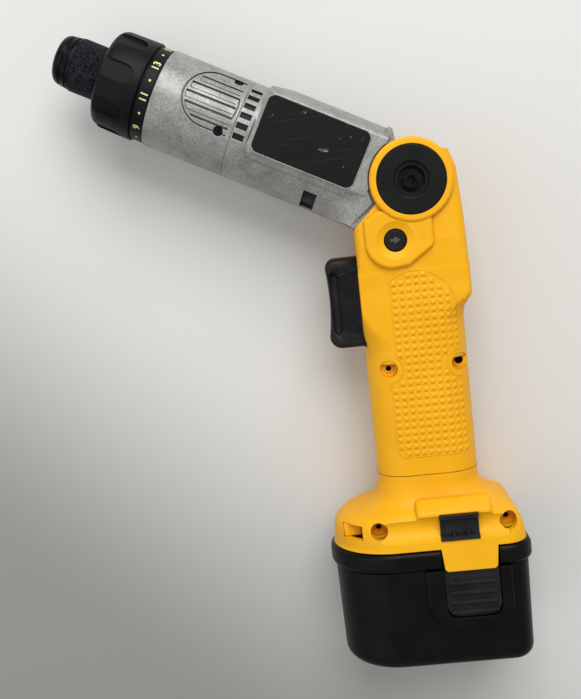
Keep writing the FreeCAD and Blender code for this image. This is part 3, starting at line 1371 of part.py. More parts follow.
# Battery: bullet-shaped case with a rounded bottom, a beaded lid with the contact tower, cells and latches.
def bullet(body, level, front, rear, half, nose, heel):
    sketch = sketch_on(body, "XZ_Plane", "-(%s)" % level)
    draw_path(sketch, [
        ("%s + %s" % (front, nose), "-%s" % half),
        ("%s - %s" % (rear, heel), "-%s" % half, heel),
        (rear, "-%s + %s" % (half, heel)),
        (rear, "%s - %s" % (half, heel), heel),
        ("%s - %s" % (rear, heel), half),
        ("%s + %s" % (front, nose), half, nose),
        (front, "%s - %s" % (half, nose)),
        (front, "-%s + %s" % (half, nose), nose),
    ])
    return sketch


def pack_section(body, level, inset):
    return bullet(body, level, "-(pack_front - (%s))" % inset, "(pack_rear - (%s))" % inset,
                  "(pack_half - (%s))" % inset, "(pack_half - 1 - (%s))" % inset, "(foot_heel - (%s))" % inset)


# The latch's face, round at its lower corners, and the window that it moves in.
def latch_outline(sketch, spare, top):
    left = "tongue_x - latch_half - " + spare
    right = "tongue_x + latch_half + " + spare
    low = "latch_low - " + spare
    draw_path(sketch, [
        (left, top),
        (left, low + " + latch_corner", "latch_corner"),
        (left + " + latch_corner", low),
        (right + " - latch_corner", low, "latch_corner"),
        (right, low + " + latch_corner"),
        (right, top),
    ])


pack = piece("battery_form")
loft(pack, "Additive", [pack_section(pack, "pack_top", "0"), pack_section(pack, "0", "pack_draft")])
soften(pack, "pack_edge", lambda e: abs(middle_of(e).y) < 0.01)
for side in (1, -1):
    frame = sketch_on(pack, "XY_Plane", "%d * (pack_half - 4)" % side)
    left = "tongue_x - frame_fore"
    right = "tongue_x + frame_aft"
    draw_path(frame, [
        (left, "pack_top"),
        (left, "frame_low + frame_bend_fore", "frame_bend_fore"),
        (left + " + frame_bend_fore", "frame_low"),
        (right + " - frame_bend_aft", "frame_low", "frame_bend_aft"),
        (right, "frame_low + frame_bend_aft"),
        (right, "pack_top"),
    ])
    pad(pack, frame, "4 + frame_swell", side < 0)
soften(pack, "frame_edge", lambda e: abs(middle_of(e).z) > number("pack_half + frame_swell") - 0.01
       and middle_of(e).y < number("pack_top") - 0.01)
inside = pack_section(pack, "pack_top + 1", "pack_draft + pack_wall")
pocket(pack, inside, "pack_top + 1 - pack_wall", True)
for side in (1, -1):
    window = sketch_on(pack, "XY_Plane", "%d * (pack_half - pack_wall - 4)" % side)
    latch_outline(window, "slide_gap", "pack_top + 1")
    pocket(pack, window, "pack_wall + 4 + frame_swell + 1", side > 0)
pack.Label = "battery_case"
nodes.append(pack)

lid = piece("battery_lid")
lid_low = "(pack_top + seat_gap)"
lid_high = "(foot_bottom - slide_gap)"
rim = pack_section(lid, lid_high, "-bead_swell")
pad(lid, rim, "%s - %s" % (lid_high, lid_low))
soften(lid, "bead_round", lambda e: (abs(middle_of(e).y - number(lid_high)) < 0.01
                                     or abs(middle_of(e).y - number(lid_low)) < 0.01))
hollow = pack_section(lid, "%s - pack_wall" % lid_high, "pack_wall + pack_draft")
pocket(lid, hollow, "pack_top", True)
for side in (1, -1):
    notch = sketch_on(lid, "XY_Plane", "%d * (foot_half - tongue_thick - slide_gap)" % side)
    draw_box(notch, "tongue_x - tongue_width / 2 - slide_gap", "pack_top - 1",
             "tongue_x + tongue_width / 2 + slide_gap", "foot_bottom + 1")
    pocket(lid, notch, "tongue_thick + bead_swell + 3", side > 0)
tower = sketch_on(lid, "XZ_Plane", "-tower_top")
draw_box(tower, "-tower_front", "-tower_half", "tower_rear", "tower_half")
pad(lid, tower, "tower_top - %s + pack_wall" % lid_high)
blade_slots = sketch_on(lid, "XZ_Plane", "-tower_top")
for side in (-1, 1):
    draw_box(blade_slots, "%d * blade_spread / 2 - blade_thick / 2 - slide_gap - 1.2" % side,
             "-blade_width / 2 - slide_gap",
             "%d * blade_spread / 2 + blade_thick / 2 + slide_gap + 1.2" % side,
             "blade_width / 2 + slide_gap")
pocket(lid, blade_slots, "10", True)
nodes.append(lid)
contacts = []
for side in (-1, 1):
    contacts.append(primitive("Box", "battery_contact", {"Length": "0.6", "Width": "8", "Height": "blade_width"},
                              "%d * blade_spread / 2 + blade_thick / 2 + slide_gap + 0.3" % side,
                              "tower_top - 9.5", "-blade_width / 2"))
nodes.append(group("battery_contacts", contacts))

# Six cells stand in two rows, seated on the case floor.
cells = []
cell_pitch = "(cell_diameter + cell_gap)"
cell_rear = "(pack_rear - pack_draft - pack_wall - 2 - cell_diameter / 2)"
for i in range(3):
    for side in (1, -1):
        cells.append(rod("cell", "cell_diameter / 2", "foot_bottom - 2 * pack_wall - 1",
                         "%s - %d * %s" % (cell_rear, i, cell_pitch), "pack_wall + seat_gap",
                         "%d * %s / 2" % (side, cell_pitch), Vector(1, 0, 0), "-90"))
nodes.append(group("battery_cells", cells))

# Ribbed latch buttons, sprung outwards against stops inside the case.
latch = piece("latch_left")
latch_face = "(pack_half + 0.4)"
latch_foot = "(pack_half - pack_draft - pack_wall - 1.2)"
button_block = sketch_on(latch, "XY_Plane", latch_foot)
latch_outline(button_block, "0", "latch_high")
pad(latch, button_block, "%s - %s" % (latch_face, latch_foot))
stop = sketch_on(latch, "XY_Plane", latch_foot)
draw_box(stop, "tongue_x - latch_half - latch_flange", "latch_low - latch_flange",
         "tongue_x + latch_half + latch_flange", "latch_high")
pad(latch, stop, "1.2 - slide_gap")
ribs = sketch_on(latch, "XY_Plane", latch_face)
for i in range(int(number("latch_ribs"))):
    level = "latch_low + (latch_high - latch_plain - latch_low) * (%d + 0.5) / latch_ribs" % i
    draw_box(ribs, "tongue_x - latch_half + 1.6", level + " - latch_rib / 2", "tongue_x + latch_half - 1.6",
             level + " + latch_rib / 2")
pad(latch, ribs, "latch_rib")
nodes.append(latch)
nodes.append(mirrored("latch_right", latch))
for side, name in ((1, "left"), (-1, "right")):
    latch_coil = coil("latch_coil_" + name, "latch_spring_radius", "latch_wire", "latch_spring_length", "6")
    bind(latch_coil, "Placement.Base.x", "%s - %s / 2" % (cell_rear, cell_pitch))
    bind(latch_coil, "Placement.Base.y", "(latch_low + latch_high) / 2")
    middle = "%d * (%s - seat_gap - latch_spring_length / 2)" % (side, latch_foot)
    bind(latch_coil, "Placement.Base.z", "%s - latch_spring_length / 2 + latch_wire" % middle)
    nodes.append(group("latch_spring_" + name, [latch_coil]))

doc.recompute()
os.makedirs("parts", exist_ok=True)
for thing in doc.Objects:
    if "Invalid" in thing.State or "Error" in thing.State:
        raise RuntimeError("%s did not build: %s" % (thing.Label, thing.getStatusString()))
for node in nodes:
    if not node.Shape.isValid():
        raise RuntimeError(node.Label + " is not a valid shape")
    node.Shape.exportStep("parts/%s.step" % node.Label)
print(len(nodes), "pieces written")
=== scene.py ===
import json
import math

import bpy
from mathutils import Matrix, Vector


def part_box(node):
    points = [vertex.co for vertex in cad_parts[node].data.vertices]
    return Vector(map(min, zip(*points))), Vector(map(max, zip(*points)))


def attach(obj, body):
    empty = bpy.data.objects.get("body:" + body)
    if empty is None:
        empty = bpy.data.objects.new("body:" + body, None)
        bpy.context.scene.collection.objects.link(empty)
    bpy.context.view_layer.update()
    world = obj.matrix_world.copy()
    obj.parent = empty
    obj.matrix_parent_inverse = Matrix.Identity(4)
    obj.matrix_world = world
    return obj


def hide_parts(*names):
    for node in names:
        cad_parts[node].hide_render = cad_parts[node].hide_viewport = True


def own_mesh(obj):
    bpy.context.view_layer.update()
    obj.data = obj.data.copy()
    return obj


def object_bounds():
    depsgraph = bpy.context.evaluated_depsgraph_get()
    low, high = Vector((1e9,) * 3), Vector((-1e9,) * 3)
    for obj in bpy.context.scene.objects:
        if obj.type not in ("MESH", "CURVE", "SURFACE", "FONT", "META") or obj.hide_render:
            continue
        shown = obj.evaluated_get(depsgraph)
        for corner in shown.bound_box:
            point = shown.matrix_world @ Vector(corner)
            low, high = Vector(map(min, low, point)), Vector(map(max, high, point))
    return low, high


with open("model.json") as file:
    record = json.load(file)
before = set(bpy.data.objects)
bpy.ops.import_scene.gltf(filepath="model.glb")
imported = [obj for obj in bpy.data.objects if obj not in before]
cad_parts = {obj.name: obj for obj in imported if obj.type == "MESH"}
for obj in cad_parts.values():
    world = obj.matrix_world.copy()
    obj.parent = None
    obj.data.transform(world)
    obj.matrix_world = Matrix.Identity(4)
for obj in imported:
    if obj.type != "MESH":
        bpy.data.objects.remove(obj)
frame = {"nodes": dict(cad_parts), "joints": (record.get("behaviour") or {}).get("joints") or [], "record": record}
nodes = frame["nodes"]
cadBox = [list(corner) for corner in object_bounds()]
bpy.ops.object.select_all(action="DESELECT")
print("frame:", len(nodes), "CAD nodes")

mm = 0.001

# where the barrel lies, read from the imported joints; stations run from the pivot to the tip
joints = {joint["name"]: joint for joint in frame["joints"]}
pivot = Vector(joints["barrel_pivot"]["pos_m"])
barrelTip = Vector(joints["motor_spin"]["axis"]).normalized()
barrelSide = Vector((0, 0, 1))
barrelUp = barrelTip.cross(barrelSide)
barrelPoint = Vector(joints["motor_spin"]["pos_m"])
barrelStart = barrelPoint + barrelTip * (pivot - barrelPoint).dot(barrelTip)


# a point beside the barrel's axis: angle 0 faces the left side, 90 the top
def roundBarrel(station, radius, angleDeg):
    angle = math.radians(angleDeg)
    outward = barrelSide * math.cos(angle) + barrelUp * math.sin(angle)
    return barrelStart + barrelTip * station + outward * radius


# colours are written as sRGB and turned to linear here only
def linear(hexText):
    parts = [int(hexText[i:i + 2], 16) / 255 for i in (1, 3, 5)]
    return tuple(v / 12.92 if v <= 0.04045 else ((v + 0.055) / 1.055) ** 2.4 for v in parts) + (1,)


# adds a node; settings fill its sockets or properties, links join outputs to its sockets
def addNode(tree, kind, links=None, **settings):
    node = tree.nodes.new("ShaderNode" + kind)
    for key, value in settings.items():
        if key == "stops":
            ramp = node.color_ramp.elements
            while len(ramp) < len(value):
                ramp.new(0.5)
            for stop, (place, colour) in zip(ramp, value):
                stop.position = place
                stop.color = linear(colour)
        elif key in node.inputs:
            node.inputs[key].default_value = value
        else:
            setattr(node, key, value)
    for key, socket in (links or {}).items():
        tree.links.new(socket, node.inputs[key])
    return node


def newMaterial(name):
    material = bpy.data.materials.new(name)
    material.use_nodes = True
    tree = material.node_tree
    shader = tree.nodes["Principled BSDF"]
    coords = addNode(tree, "TexCoord").outputs["Object"]
    return material, tree, shader, coords


# pattern frequency for features of this size
def perSize(sizeMm):
    return 1 / (sizeMm * mm)


def mixColour(tree, factor, first, second):
    mix = addNode(tree, "Mix", data_type="RGBA")
    tree.links.new(factor, mix.inputs[0])
    for index, value in ((6, first), (7, second)):
        if isinstance(value, str):
            mix.inputs[index].default_value = linear(value)
        else:
            tree.links.new(value, mix.inputs[index])
    return mix.outputs[2]


# mask for painted shade: grey where the surface lies in a groove or a corner, black on open faces
def grooveMask(tree, reachMm, strongest):
    shade = addNode(tree, "AmbientOcclusion", samples=8, only_local=True, Distance=reachMm * mm)
    ramp = addNode(tree, "ValToRGB", {"Fac": shade.outputs["AO"]},
                   stops=[(0.30, strongest), (0.80, "#000000")])
    return ramp.outputs["Color"]


# grey along outer edges, from how far a rounded normal leaves the true one; it places a painted highlight that is
# partly rubbed wear
def edgeMask(tree, radiusMm, strongest):
    rounded = addNode(tree, "Bevel", samples=6, Radius=radiusMm * mm)
    flat = addNode(tree, "NewGeometry")
    normals = {0: rounded.outputs["Normal"], 1: flat.outputs["Normal"]}
    lean = addNode(tree, "VectorMath", normals, operation="DOT_PRODUCT")
    ramp = addNode(tree, "ValToRGB", {"Fac": lean.outputs["Value"]},
                   stops=[(0.86, strongest), (0.985, "#000000")])
    return ramp.outputs["Color"], rounded.outputs["Normal"]


# ABS, injection moulded in a spark-eroded mould: even amber colour, fine grain, soft highlight,
# with painted shade in the corners and grooves, a painted highlight along the edges that is partly rubbed wear,
# faint patches and small dark nicks
def yellowAbs():
    material, tree, shader, coords = newMaterial("ABS moulded amber yellow")
    cloud = addNode(tree, "TexNoise", {"Vector": coords}, Scale=perSize(34), Detail=4, Roughness=0.6)
    tone = addNode(tree, "ValToRGB", {"Fac": cloud.outputs["Fac"]},
                   stops=[(0.30, "#EFA905"), (0.52, "#F5B10A"), (0.72, "#F8B714")])
    grime = addNode(tree, "TexNoise", {"Vector": coords}, Scale=perSize(9), Detail=7, Roughness=0.7)
    grimeMask = addNode(tree, "ValToRGB", {"Fac": grime.outputs["Fac"]},
                        stops=[(0.58, "#000000"), (0.80, "#4A4A4A")])
    soiled = mixColour(tree, grimeMask.outputs["Color"], tone.outputs["Color"], "#B57C12")
    edge, roundedNormal = edgeMask(tree, 0.5, "#787878")
    # paler along the edges: a painted highlight, partly rubbed wear
    rubbedAndLit = mixColour(tree, edge, soiled, "#FFC63C")
    # painted shade: darker yellow in grooves and corners, from ambient occlusion
    grooveShaded = mixColour(tree, grooveMask(tree, 2.0, "#C0C0C0"), rubbedAndLit, "#9E6A0A")
    nick = addNode(tree, "TexNoise", {"Vector": coords}, Scale=perSize(1.5), Detail=2, Roughness=0.5)
    nickMask = addNode(tree, "ValToRGB", {"Fac": nick.outputs["Fac"]},
                       stops=[(0.745, "#000000"), (0.79, "#C0C0C0")])
    tree.links.new(mixColour(tree, nickMask.outputs["Color"], grooveShaded, "#5A3E0C"), shader.inputs["Base Color"])
    # the real grain is about 0.1 mm, drawn coarser so that it shows
    grain = addNode(tree, "TexNoise", {"Vector": coords}, Scale=perSize(0.55), Detail=3)
    bump = addNode(tree, "Bump", {"Height": grain.outputs["Fac"], "Normal": roundedNormal},
                   Strength=0.16, Distance=0.12 * mm)
    tree.links.new(bump.outputs["Normal"], shader.inputs["Normal"])
    gloss = addNode(tree, "MapRange", {"Value": grime.outputs["Fac"]})
    gloss.inputs["To Min"].default_value = 0.40
    gloss.inputs["To Max"].default_value = 0.58
    tree.links.new(gloss.outputs["Result"], shader.inputs["Roughness"])
    shader.inputs["IOR"].default_value = 1.53
    shader.inputs["Specular IOR Level"].default_value = 0.24
    return material


# dark plastics, moulded and satin: deep tone that greys where hands rub it, a painted highlight along the edges
# that is partly polished wear, and painted shade near-black in the grooves
def darkPlastic(name, colour, rub, edgeTone, rough, grainMm):
    material, tree, shader, coords = newMaterial(name)
    cloud = addNode(tree, "TexNoise", {"Vector": coords}, Scale=perSize(12), Detail=6, Roughness=0.65)
    tone = addNode(tree, "ValToRGB", {"Fac": cloud.outputs["Fac"]}, stops=[(0.40, colour), (0.75, rub)])
    edge, roundedNormal = edgeMask(tree, 0.4, "#8A8A8A")
    # paler along the edges: a painted highlight, partly polished wear
    rubbedAndLit = mixColour(tree, edge, tone.outputs["Color"], edgeTone)
    speck = addNode(tree, "TexNoise", {"Vector": coords}, Scale=perSize(0.9), Detail=1)
    speckMask = addNode(tree, "ValToRGB", {"Fac": speck.outputs["Fac"]},
                        stops=[(0.77, "#000000"), (0.81, "#505050")])
    specked = mixColour(tree, speckMask.outputs["Color"], rubbedAndLit, "#6A6965")
    # painted shade: near-black in grooves and corners, from ambient occlusion
    sunk = mixColour(tree, grooveMask(tree, 2.5, "#E0E0E0"), specked, "#030303")
    tree.links.new(sunk, shader.inputs["Base Color"])
    grain = addNode(tree, "TexNoise", {"Vector": coords}, Scale=perSize(grainMm), Detail=3)
    bump = addNode(tree, "Bump", {"Height": grain.outputs["Fac"], "Normal": roundedNormal},
                   Strength=0.22, Distance=0.15 * mm)
    tree.links.new(bump.outputs["Normal"], shader.inputs["Normal"])
    gloss = addNode(tree, "MapRange", {"Value": cloud.outputs["Fac"]})
    gloss.inputs["To Min"].default_value = rough - 0.08
    gloss.inputs["To Max"].default_value = rough + 0.10
    tree.links.new(gloss.outputs["Result"], shader.inputs["Roughness"])
    shader.inputs["IOR"].default_value = 1.53
    shader.inputs["Specular IOR Level"].default_value = 0.13
    return material


# painted shade: the lacquer's colour goes near-black deeper inside the row of vents and the slot in the belly
vents = {"rowStation": 68.9, "slotStation": 34.6, "reach": 3.0, "slotRise": -6,
         "darkest": 19.2, "painted": 19.8}


def ventMask(tree, coords):
    offset = addNode(tree, "VectorMath", {0: coords}, operation="SUBTRACT")
    offset.inputs[1].default_value = barrelStart
    fromAxis = offset.outputs["Vector"]
    swept = addNode(tree, "VectorMath", {0: fromAxis}, operation="CROSS_PRODUCT")
    swept.inputs[1].default_value = barrelTip
    radius = addNode(tree, "VectorMath", {0: swept.outputs["Vector"]}, operation="LENGTH")
    deep = addNode(tree, "MapRange", {"Value": radius.outputs["Value"]})
    deep.inputs["From Min"].default_value = vents["painted"] * mm
    deep.inputs["From Max"].default_value = vents["darkest"] * mm
    station = addNode(tree, "VectorMath", {0: fromAxis}, operation="DOT_PRODUCT")
    station.inputs[1].default_value = barrelTip
    beside = []
    for middle in (vents["rowStation"], vents["slotStation"]):
        near = addNode(tree, "Math", {0: station.outputs["Value"]}, operation="COMPARE")
        near.inputs[1].default_value = middle * mm
        near.inputs[2].default_value = vents["reach"] * mm
        beside.append(near.outputs["Value"])
    rise = addNode(tree, "VectorMath", {0: fromAxis}, operation="DOT_PRODUCT")
    rise.inputs[1].default_value = barrelUp
    low = addNode(tree, "Math", {0: rise.outputs["Value"]}, operation="LESS_THAN")
    low.inputs[1].default_value = vents["slotRise"] * mm
    slot = addNode(tree, "Math", {0: beside[1], 1: low.outputs["Value"]}, operation="MULTIPLY")
    either = addNode(tree, "Math", {0: beside[0], 1: slot.outputs["Value"]}, operation="MAXIMUM")
    inside = {0: deep.outputs["Result"], 1: either.outputs["Value"]}
    return addNode(tree, "Math", inside, operation="MULTIPLY").outputs["Value"]


# silver lacquer with fine flake over moulded plastic: smudged grey, speckled with dirt,
# painted shade black in the grooves and a painted highlight along the edges, partly rubbed wear
def silverLacquer():
    material, tree, shader, coords = newMaterial("silver lacquer on plastic")
    flake = addNode(tree, "TexNoise", {"Vector": coords}, Scale=perSize(0.7), Detail=2)
    tone = addNode(tree, "ValToRGB", {"Fac": flake.outputs["Fac"]},
                   stops=[(0.35, "#8D8D8A"), (0.65, "#A9A9A6")])
    smudge = addNode(tree, "TexNoise", {"Vector": coords}, Scale=perSize(10), Detail=8, Roughness=0.74)
    smudgeMask = addNode(tree, "ValToRGB", {"Fac": smudge.outputs["Fac"]},
                         stops=[(0.44, "#000000"), (0.70, "#C0C0C0")])
    smudged = mixColour(tree, smudgeMask.outputs["Color"], tone.outputs["Color"], "#50504C")
    edge, roundedNormal = edgeMask(tree, 0.5, "#909090")
    # paler along the edges: a painted highlight, partly rubbed wear
    rubbedAndLit = mixColour(tree, edge, smudged, "#DCDCDA")
    # painted shade: near-black in grooves and corners, from ambient occlusion
    grooveShaded = mixColour(tree, grooveMask(tree, 1.6, "#F0F0F0"), rubbedAndLit, "#252523")
    chip = addNode(tree, "TexNoise", {"Vector": coords}, Scale=perSize(2.4), Detail=4, Roughness=0.62)
    chipMask = addNode(tree, "ValToRGB", {"Fac": chip.outputs["Fac"]},
                       stops=[(0.625, "#000000"), (0.70, "#C8C8C8")])
    chipped = mixColour(tree, chipMask.outputs["Color"], grooveShaded, "#35342F")
    # painted shade: near-black deep inside the vents and the belly slot
    tree.links.new(mixColour(tree, ventMask(tree, coords), chipped, "#0A0A0A"), shader.inputs["Base Color"])
    bump = addNode(tree, "Bump", {"Height": flake.outputs["Fac"], "Normal": roundedNormal},
                   Strength=0.08, Distance=0.08 * mm)
    tree.links.new(bump.outputs["Normal"], shader.inputs["Normal"])
    gloss = addNode(tree, "MapRange", {"Value": smudge.outputs["Fac"]})
    gloss.inputs["To Min"].default_value = 0.32
    gloss.inputs["To Max"].default_value = 0.55
    tree.links.new(gloss.outputs["Result"], shader.inputs["Roughness"])
    shader.inputs["Metallic"].default_value = 0.35
    return material


# plain metals share one recipe: a base tone, fine streaks and a roughness that wanders
def metal(name, dark, light, rough, streakMm):
    material, tree, shader, coords = newMaterial(name)
    streak = addNode(tree, "TexNoise", {"Vector": coords}, Scale=perSize(streakMm), Detail=5, Roughness=0.6)
    tone = addNode(tree, "ValToRGB", {"Fac": streak.outputs["Fac"]}, stops=[(0.35, dark), (0.70, light)])
    tree.links.new(tone.outputs["Color"], shader.inputs["Base Color"])
    gloss = addNode(tree, "MapRange", {"Value": streak.outputs["Fac"]})
    gloss.inputs["To Min"].default_value = rough - 0.08
    gloss.inputs["To Max"].default_value = rough + 0.12
    tree.links.new(gloss.outputs["Result"], shader.inputs["Roughness"])
    shader.inputs["Metallic"].default_value = 1
    return material


# printed polyester film under clear varnish: near-black and glossy, with hair scratches and white scuffs
def plateFilm():
    material, tree, shader, coords = newMaterial("black printed film")
    turned = addNode(tree, "Mapping", {"Vector": coords}, Rotation=(0, 0, math.radians(35)),
                     Scale=(perSize(40), perSize(1.2), perSize(10)))
    scratch = addNode(tree, "TexNoise", {"Vector": turned.outputs["Vector"]},
                      Scale=1, Detail=4, Roughness=0.6)
    scratchMask = addNode(tree, "ValToRGB", {"Fac": scratch.outputs["Fac"]},
                          stops=[(0.66, "#000000"), (0.70, "#4A4A4A")])
    scratched = mixColour(tree, scratchMask.outputs["Color"], "#121211", "#8E8C84")
    scuff = addNode(tree, "TexNoise", {"Vector": coords}, Scale=perSize(4.5), Detail=6, Roughness=0.75)
    scuffMask = addNode(tree, "ValToRGB", {"Fac": scuff.outputs["Fac"]},
                        stops=[(0.665, "#000000"), (0.72, "#E0E0E0")])
    scuffed = mixColour(tree, scuffMask.outputs["Color"], scratched, "#C9C8C2")
    tree.links.new(scuffed, shader.inputs["Base Color"])
    gloss = addNode(tree, "MapRange", {"Value": scratch.outputs["Fac"]})
    gloss.inputs["To Min"].default_value = 0.18
    gloss.inputs["To Max"].default_value = 0.40
    tree.links.new(gloss.outputs["Result"], shader.inputs["Roughness"])
    shader.inputs["Specular IOR Level"].default_value = 0.22
    return material


# pad-printing ink: a flat opaque cream film, thin in places where the plastic shows through
def printInk():
    material, tree, shader, coords = newMaterial("pad printed ink, cream")
    thin = addNode(tree, "TexNoise", {"Vector": coords}, Scale=perSize(1.4), Detail=4, Roughness=0.65)
    tone = addNode(tree, "ValToRGB", {"Fac": thin.outputs["Fac"]},
                   stops=[(0.30, "#B9A45C"), (0.46, "#E9D794"), (0.70, "#F4E9BC")])
    tree.links.new(tone.outputs["Color"], shader.inputs["Base Color"])
    shader.inputs["Roughness"].default_value = 0.5
    return material


# a dull, patchy dark line along a moulded groove: painted shade
def lineDirt(name, dark, light):
    material, tree, shader, coords = newMaterial(name)
    patch = addNode(tree, "TexNoise", {"Vector": coords}, Scale=perSize(4), Detail=4)
    tone = addNode(tree, "ValToRGB", {"Fac": patch.outputs["Fac"]}, stops=[(0.35, dark), (0.65, light)])
    tree.links.new(tone.outputs["Color"], shader.inputs["Base Color"])
    shader.inputs["Roughness"].default_value = 0.6
    return material


finishes = {
    "yellow_plastic": yellowAbs(),
    "black_plastic": darkPlastic("nylon moulded black", "#1C1C1E", "#2D2D30", "#47474A", 0.42, 0.5),
    "battery_plastic": darkPlastic("ABS moulded black", "#050505", "#0F0F0F", "#1F1F1F", 0.38, 0.8),
    "black_disc": darkPlastic("acetal black satin", "#101111", "#1B1C1C", "#303131", 0.40, 0.4),
    "black_ring": darkPlastic("nylon black, rubbed", "#08090A", "#161A1B", "#2A2F32", 0.42, 0.5),
    "silver_paint": silverLacquer(),
    "plate_film": plateFilm(),
    "blackened_steel": metal("steel, black oxide", "#131315", "#2A2A2F", 0.42, 3),
    "machined_steel": metal("steel, turned", "#8C8C8E", "#B5B5B6", 0.30, 2),
    "spring_steel": metal("spring wire", "#77777A", "#9A9A9C", 0.32, 1),
    "sintered_bronze": metal("bronze, sintered", "#8A6434", "#A97F48", 0.45, 1),
    "motor_laminations": metal("electrical steel", "#4A4A4D", "#66666A", 0.40, 1),
    "ferrite": darkPlastic("ferrite, ground", "#242426", "#38383A", "#4A4A4C", 0.62, 0.6),
    "copper": metal("copper, drawn", "#A5623C", "#C98A62", 0.30, 2),
    "carbon": darkPlastic("carbon, pressed", "#191919", "#2B2B2B", "#3A3A3A", 0.60, 0.4),
    "cell_sleeve": darkPlastic("shrink sleeve", "#23603A", "#2E7648", "#3F8A5A", 0.30, 1.0),
}
for part in frame["record"]["subparts"]:
    node = nodes[part["node"]]
    node.data.materials.clear()
    node.data.materials.append(finishes[part["material_slot"]])
ink = printInk()
arrowNylon = darkPlastic("nylon, arrow rubbed pale", "#4C4C50", "#6E6E72", "#8A8A8C", 0.40, 0.5)
wornOxide = metal("steel, black oxide worn on the points", "#1B1B1F", "#46464E", 0.38, 1.2)
print("finishes:", len(finishes) + 3, "materials")


# names a modelled piece, gives it its finish and the body that carries it
def finishPiece(piece, name, body, material, angleDeg=35):
    bpy.ops.object.mode_set(mode="OBJECT")
    bpy.ops.object.select_all(action="DESELECT")
    piece.select_set(True)
    bpy.context.view_layer.objects.active = piece
    bpy.ops.object.transform_apply(location=True, rotation=True, scale=True)
    bpy.ops.object.shade_smooth_by_angle(angle=math.radians(angleDeg))
    piece.name = name
    piece.data.name = name
    piece.data.materials.clear()
    piece.data.materials.append(material)
    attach(piece, body)
    piece.select_set(False)
    print("piece:", name, len(piece.data.polygons), "faces")
    return piece


def applyModifier(piece, kind, **settings):
    modifier = piece.modifiers.new(kind.lower(), kind)
    for key, value in settings.items():
        setattr(modifier, key, value)
    bpy.ops.object.modifier_apply(modifier=modifier.name)


# 0 before the start, 1 after the end, smooth between
def ease(value, start, end):
    part = min(1, max(0, (value - start) / (end - start)))
    return part * part * (3 - 2 * part)


# points along an arc, both ends included
def arcPoints(centre, radius, fromDeg, toDeg, count):
    turns = [math.radians(fromDeg + (toDeg - fromDeg) * i / count) for i in range(count + 1)]
    return [(centre[0] + radius * math.cos(a), centre[1] + radius * math.sin(a)) for a in turns]


# a sheet of columns by rows, each point placed by its two counts
def addSheet(columns, rows, place):
    bpy.ops.object.select_all(action="DESELECT")
    bpy.ops.mesh.primitive_grid_add(x_subdivisions=columns, y_subdivisions=rows, size=1)
    piece = bpy.context.object
    for vertex in piece.data.vertices:
        column = round((vertex.co.x + 0.5) * columns)
        row = round((vertex.co.y + 0.5) * rows)
        vertex.co = place(column, row)
    return piece


# a box between two opposite corners
def boxBetween(low, high):
    bpy.ops.object.select_all(action="DESELECT")
    middle = [(a + b) / 2 * mm for a, b in zip(low, high)]
    bpy.ops.mesh.primitive_cube_add(size=1, location=middle)
    piece = bpy.context.object
    piece.scale = [(b - a) * mm for a, b in zip(low, high)]
    bpy.ops.object.transform_apply(location=True, rotation=True, scale=True)
    return piece


# a round bead along a line of points
def addTube(name, line, radiusMm, closed):
    path = bpy.data.curves.new(name, "CURVE")
    path.dimensions = "3D"
    path.bevel_depth = radiusMm * mm
    path.bevel_resolution = 2
    path.use_fill_caps = not closed
    spline = path.splines.new("POLY")
    spline.points.add(len(line) - 1)
    for point, place in zip(spline.points, line):
        point.co = (*place, 1)
    spline.use_cyclic_u = closed
    piece = bpy.data.objects.new(name, path)
    bpy.context.scene.collection.objects.link(piece)
    bpy.ops.object.select_all(action="DESELECT")
    piece.select_set(True)
    bpy.context.view_layer.objects.active = piece
    bpy.ops.object.convert(target="MESH")
    return bpy.context.object


# a free copy of a CAD node, its split corners merged
def copyNode(name):
    piece = bpy.data.objects.new(name + "_copy", nodes[name].data.copy())
    bpy.context.scene.collection.objects.link(piece)
    bpy.ops.object.select_all(action="DESELECT")
    piece.select_set(True)
    bpy.context.view_layer.objects.active = piece
    bpy.ops.object.mode_set(mode="EDIT")
    bpy.ops.mesh.select_mode(type="FACE")
    bpy.ops.mesh.select_all(action="SELECT")
    bpy.ops.mesh.remove_doubles(threshold=0.005 * mm)
    bpy.ops.object.mode_set(mode="OBJECT")
    return piece


# a round-ended cutter: balls at both ends of a rod along its Z
def addCapsule(radiusMm, lengthMm):
    bpy.ops.object.select_all(action="DESELECT")
    bpy.ops.mesh.primitive_uv_sphere_add(segments=32, ring_count=32, radius=radiusMm * mm)
    cutter = bpy.context.object
    for vertex in cutter.data.vertices:
        if vertex.co.z > 0.01 * mm:
            vertex.co.z += lengthMm * mm
    return cutter


def cutAway(piece, cutter):
    bpy.ops.object.select_all(action="DESELECT")
    piece.select_set(True)
    bpy.context.view_layer.objects.active = piece
    applyModifier(piece, "BOOLEAN", object=cutter, operation="DIFFERENCE", solver="EXACT")
    bpy.data.objects.remove(cutter)


# the grip's rounded section, which squares up beside the trigger and swells into the head
grip = {
    "front": -21.6, "rear": 19.6, "half": 17.5, "round": 13,
    "headFront": -21.66, "headRear": 22.6, "headNose": 0.6, "headHeel": 2.6, "swell": 0.56, "headSlope": 0.1,
    "squares": (129, 149), "deepens": (145, 152), "swells": (130, 154), "heelSharpens": (140, 153),
    "slopeFrom": 157,
}


def gripSection(y):
    square = ease(y, *grip["squares"])
    deepen = ease(y, *grip["deepens"])
    sharpen = ease(y, *grip["heelSharpens"])
    front = grip["front"] + (grip["headFront"] - grip["front"]) * square
    rear = grip["rear"] + (grip["headRear"] - grip["rear"]) * deepen
    half = grip["half"] + grip["swell"] * ease(y, *grip["swells"])
    half += grip["headSlope"] * max(0, y - grip["slopeFrom"])
    nose = grip["round"] + (grip["headNose"] - grip["round"]) * square
    heel = grip["round"] + (grip["headHeel"] - grip["round"]) * sharpen
    return front, rear, half, nose, heel


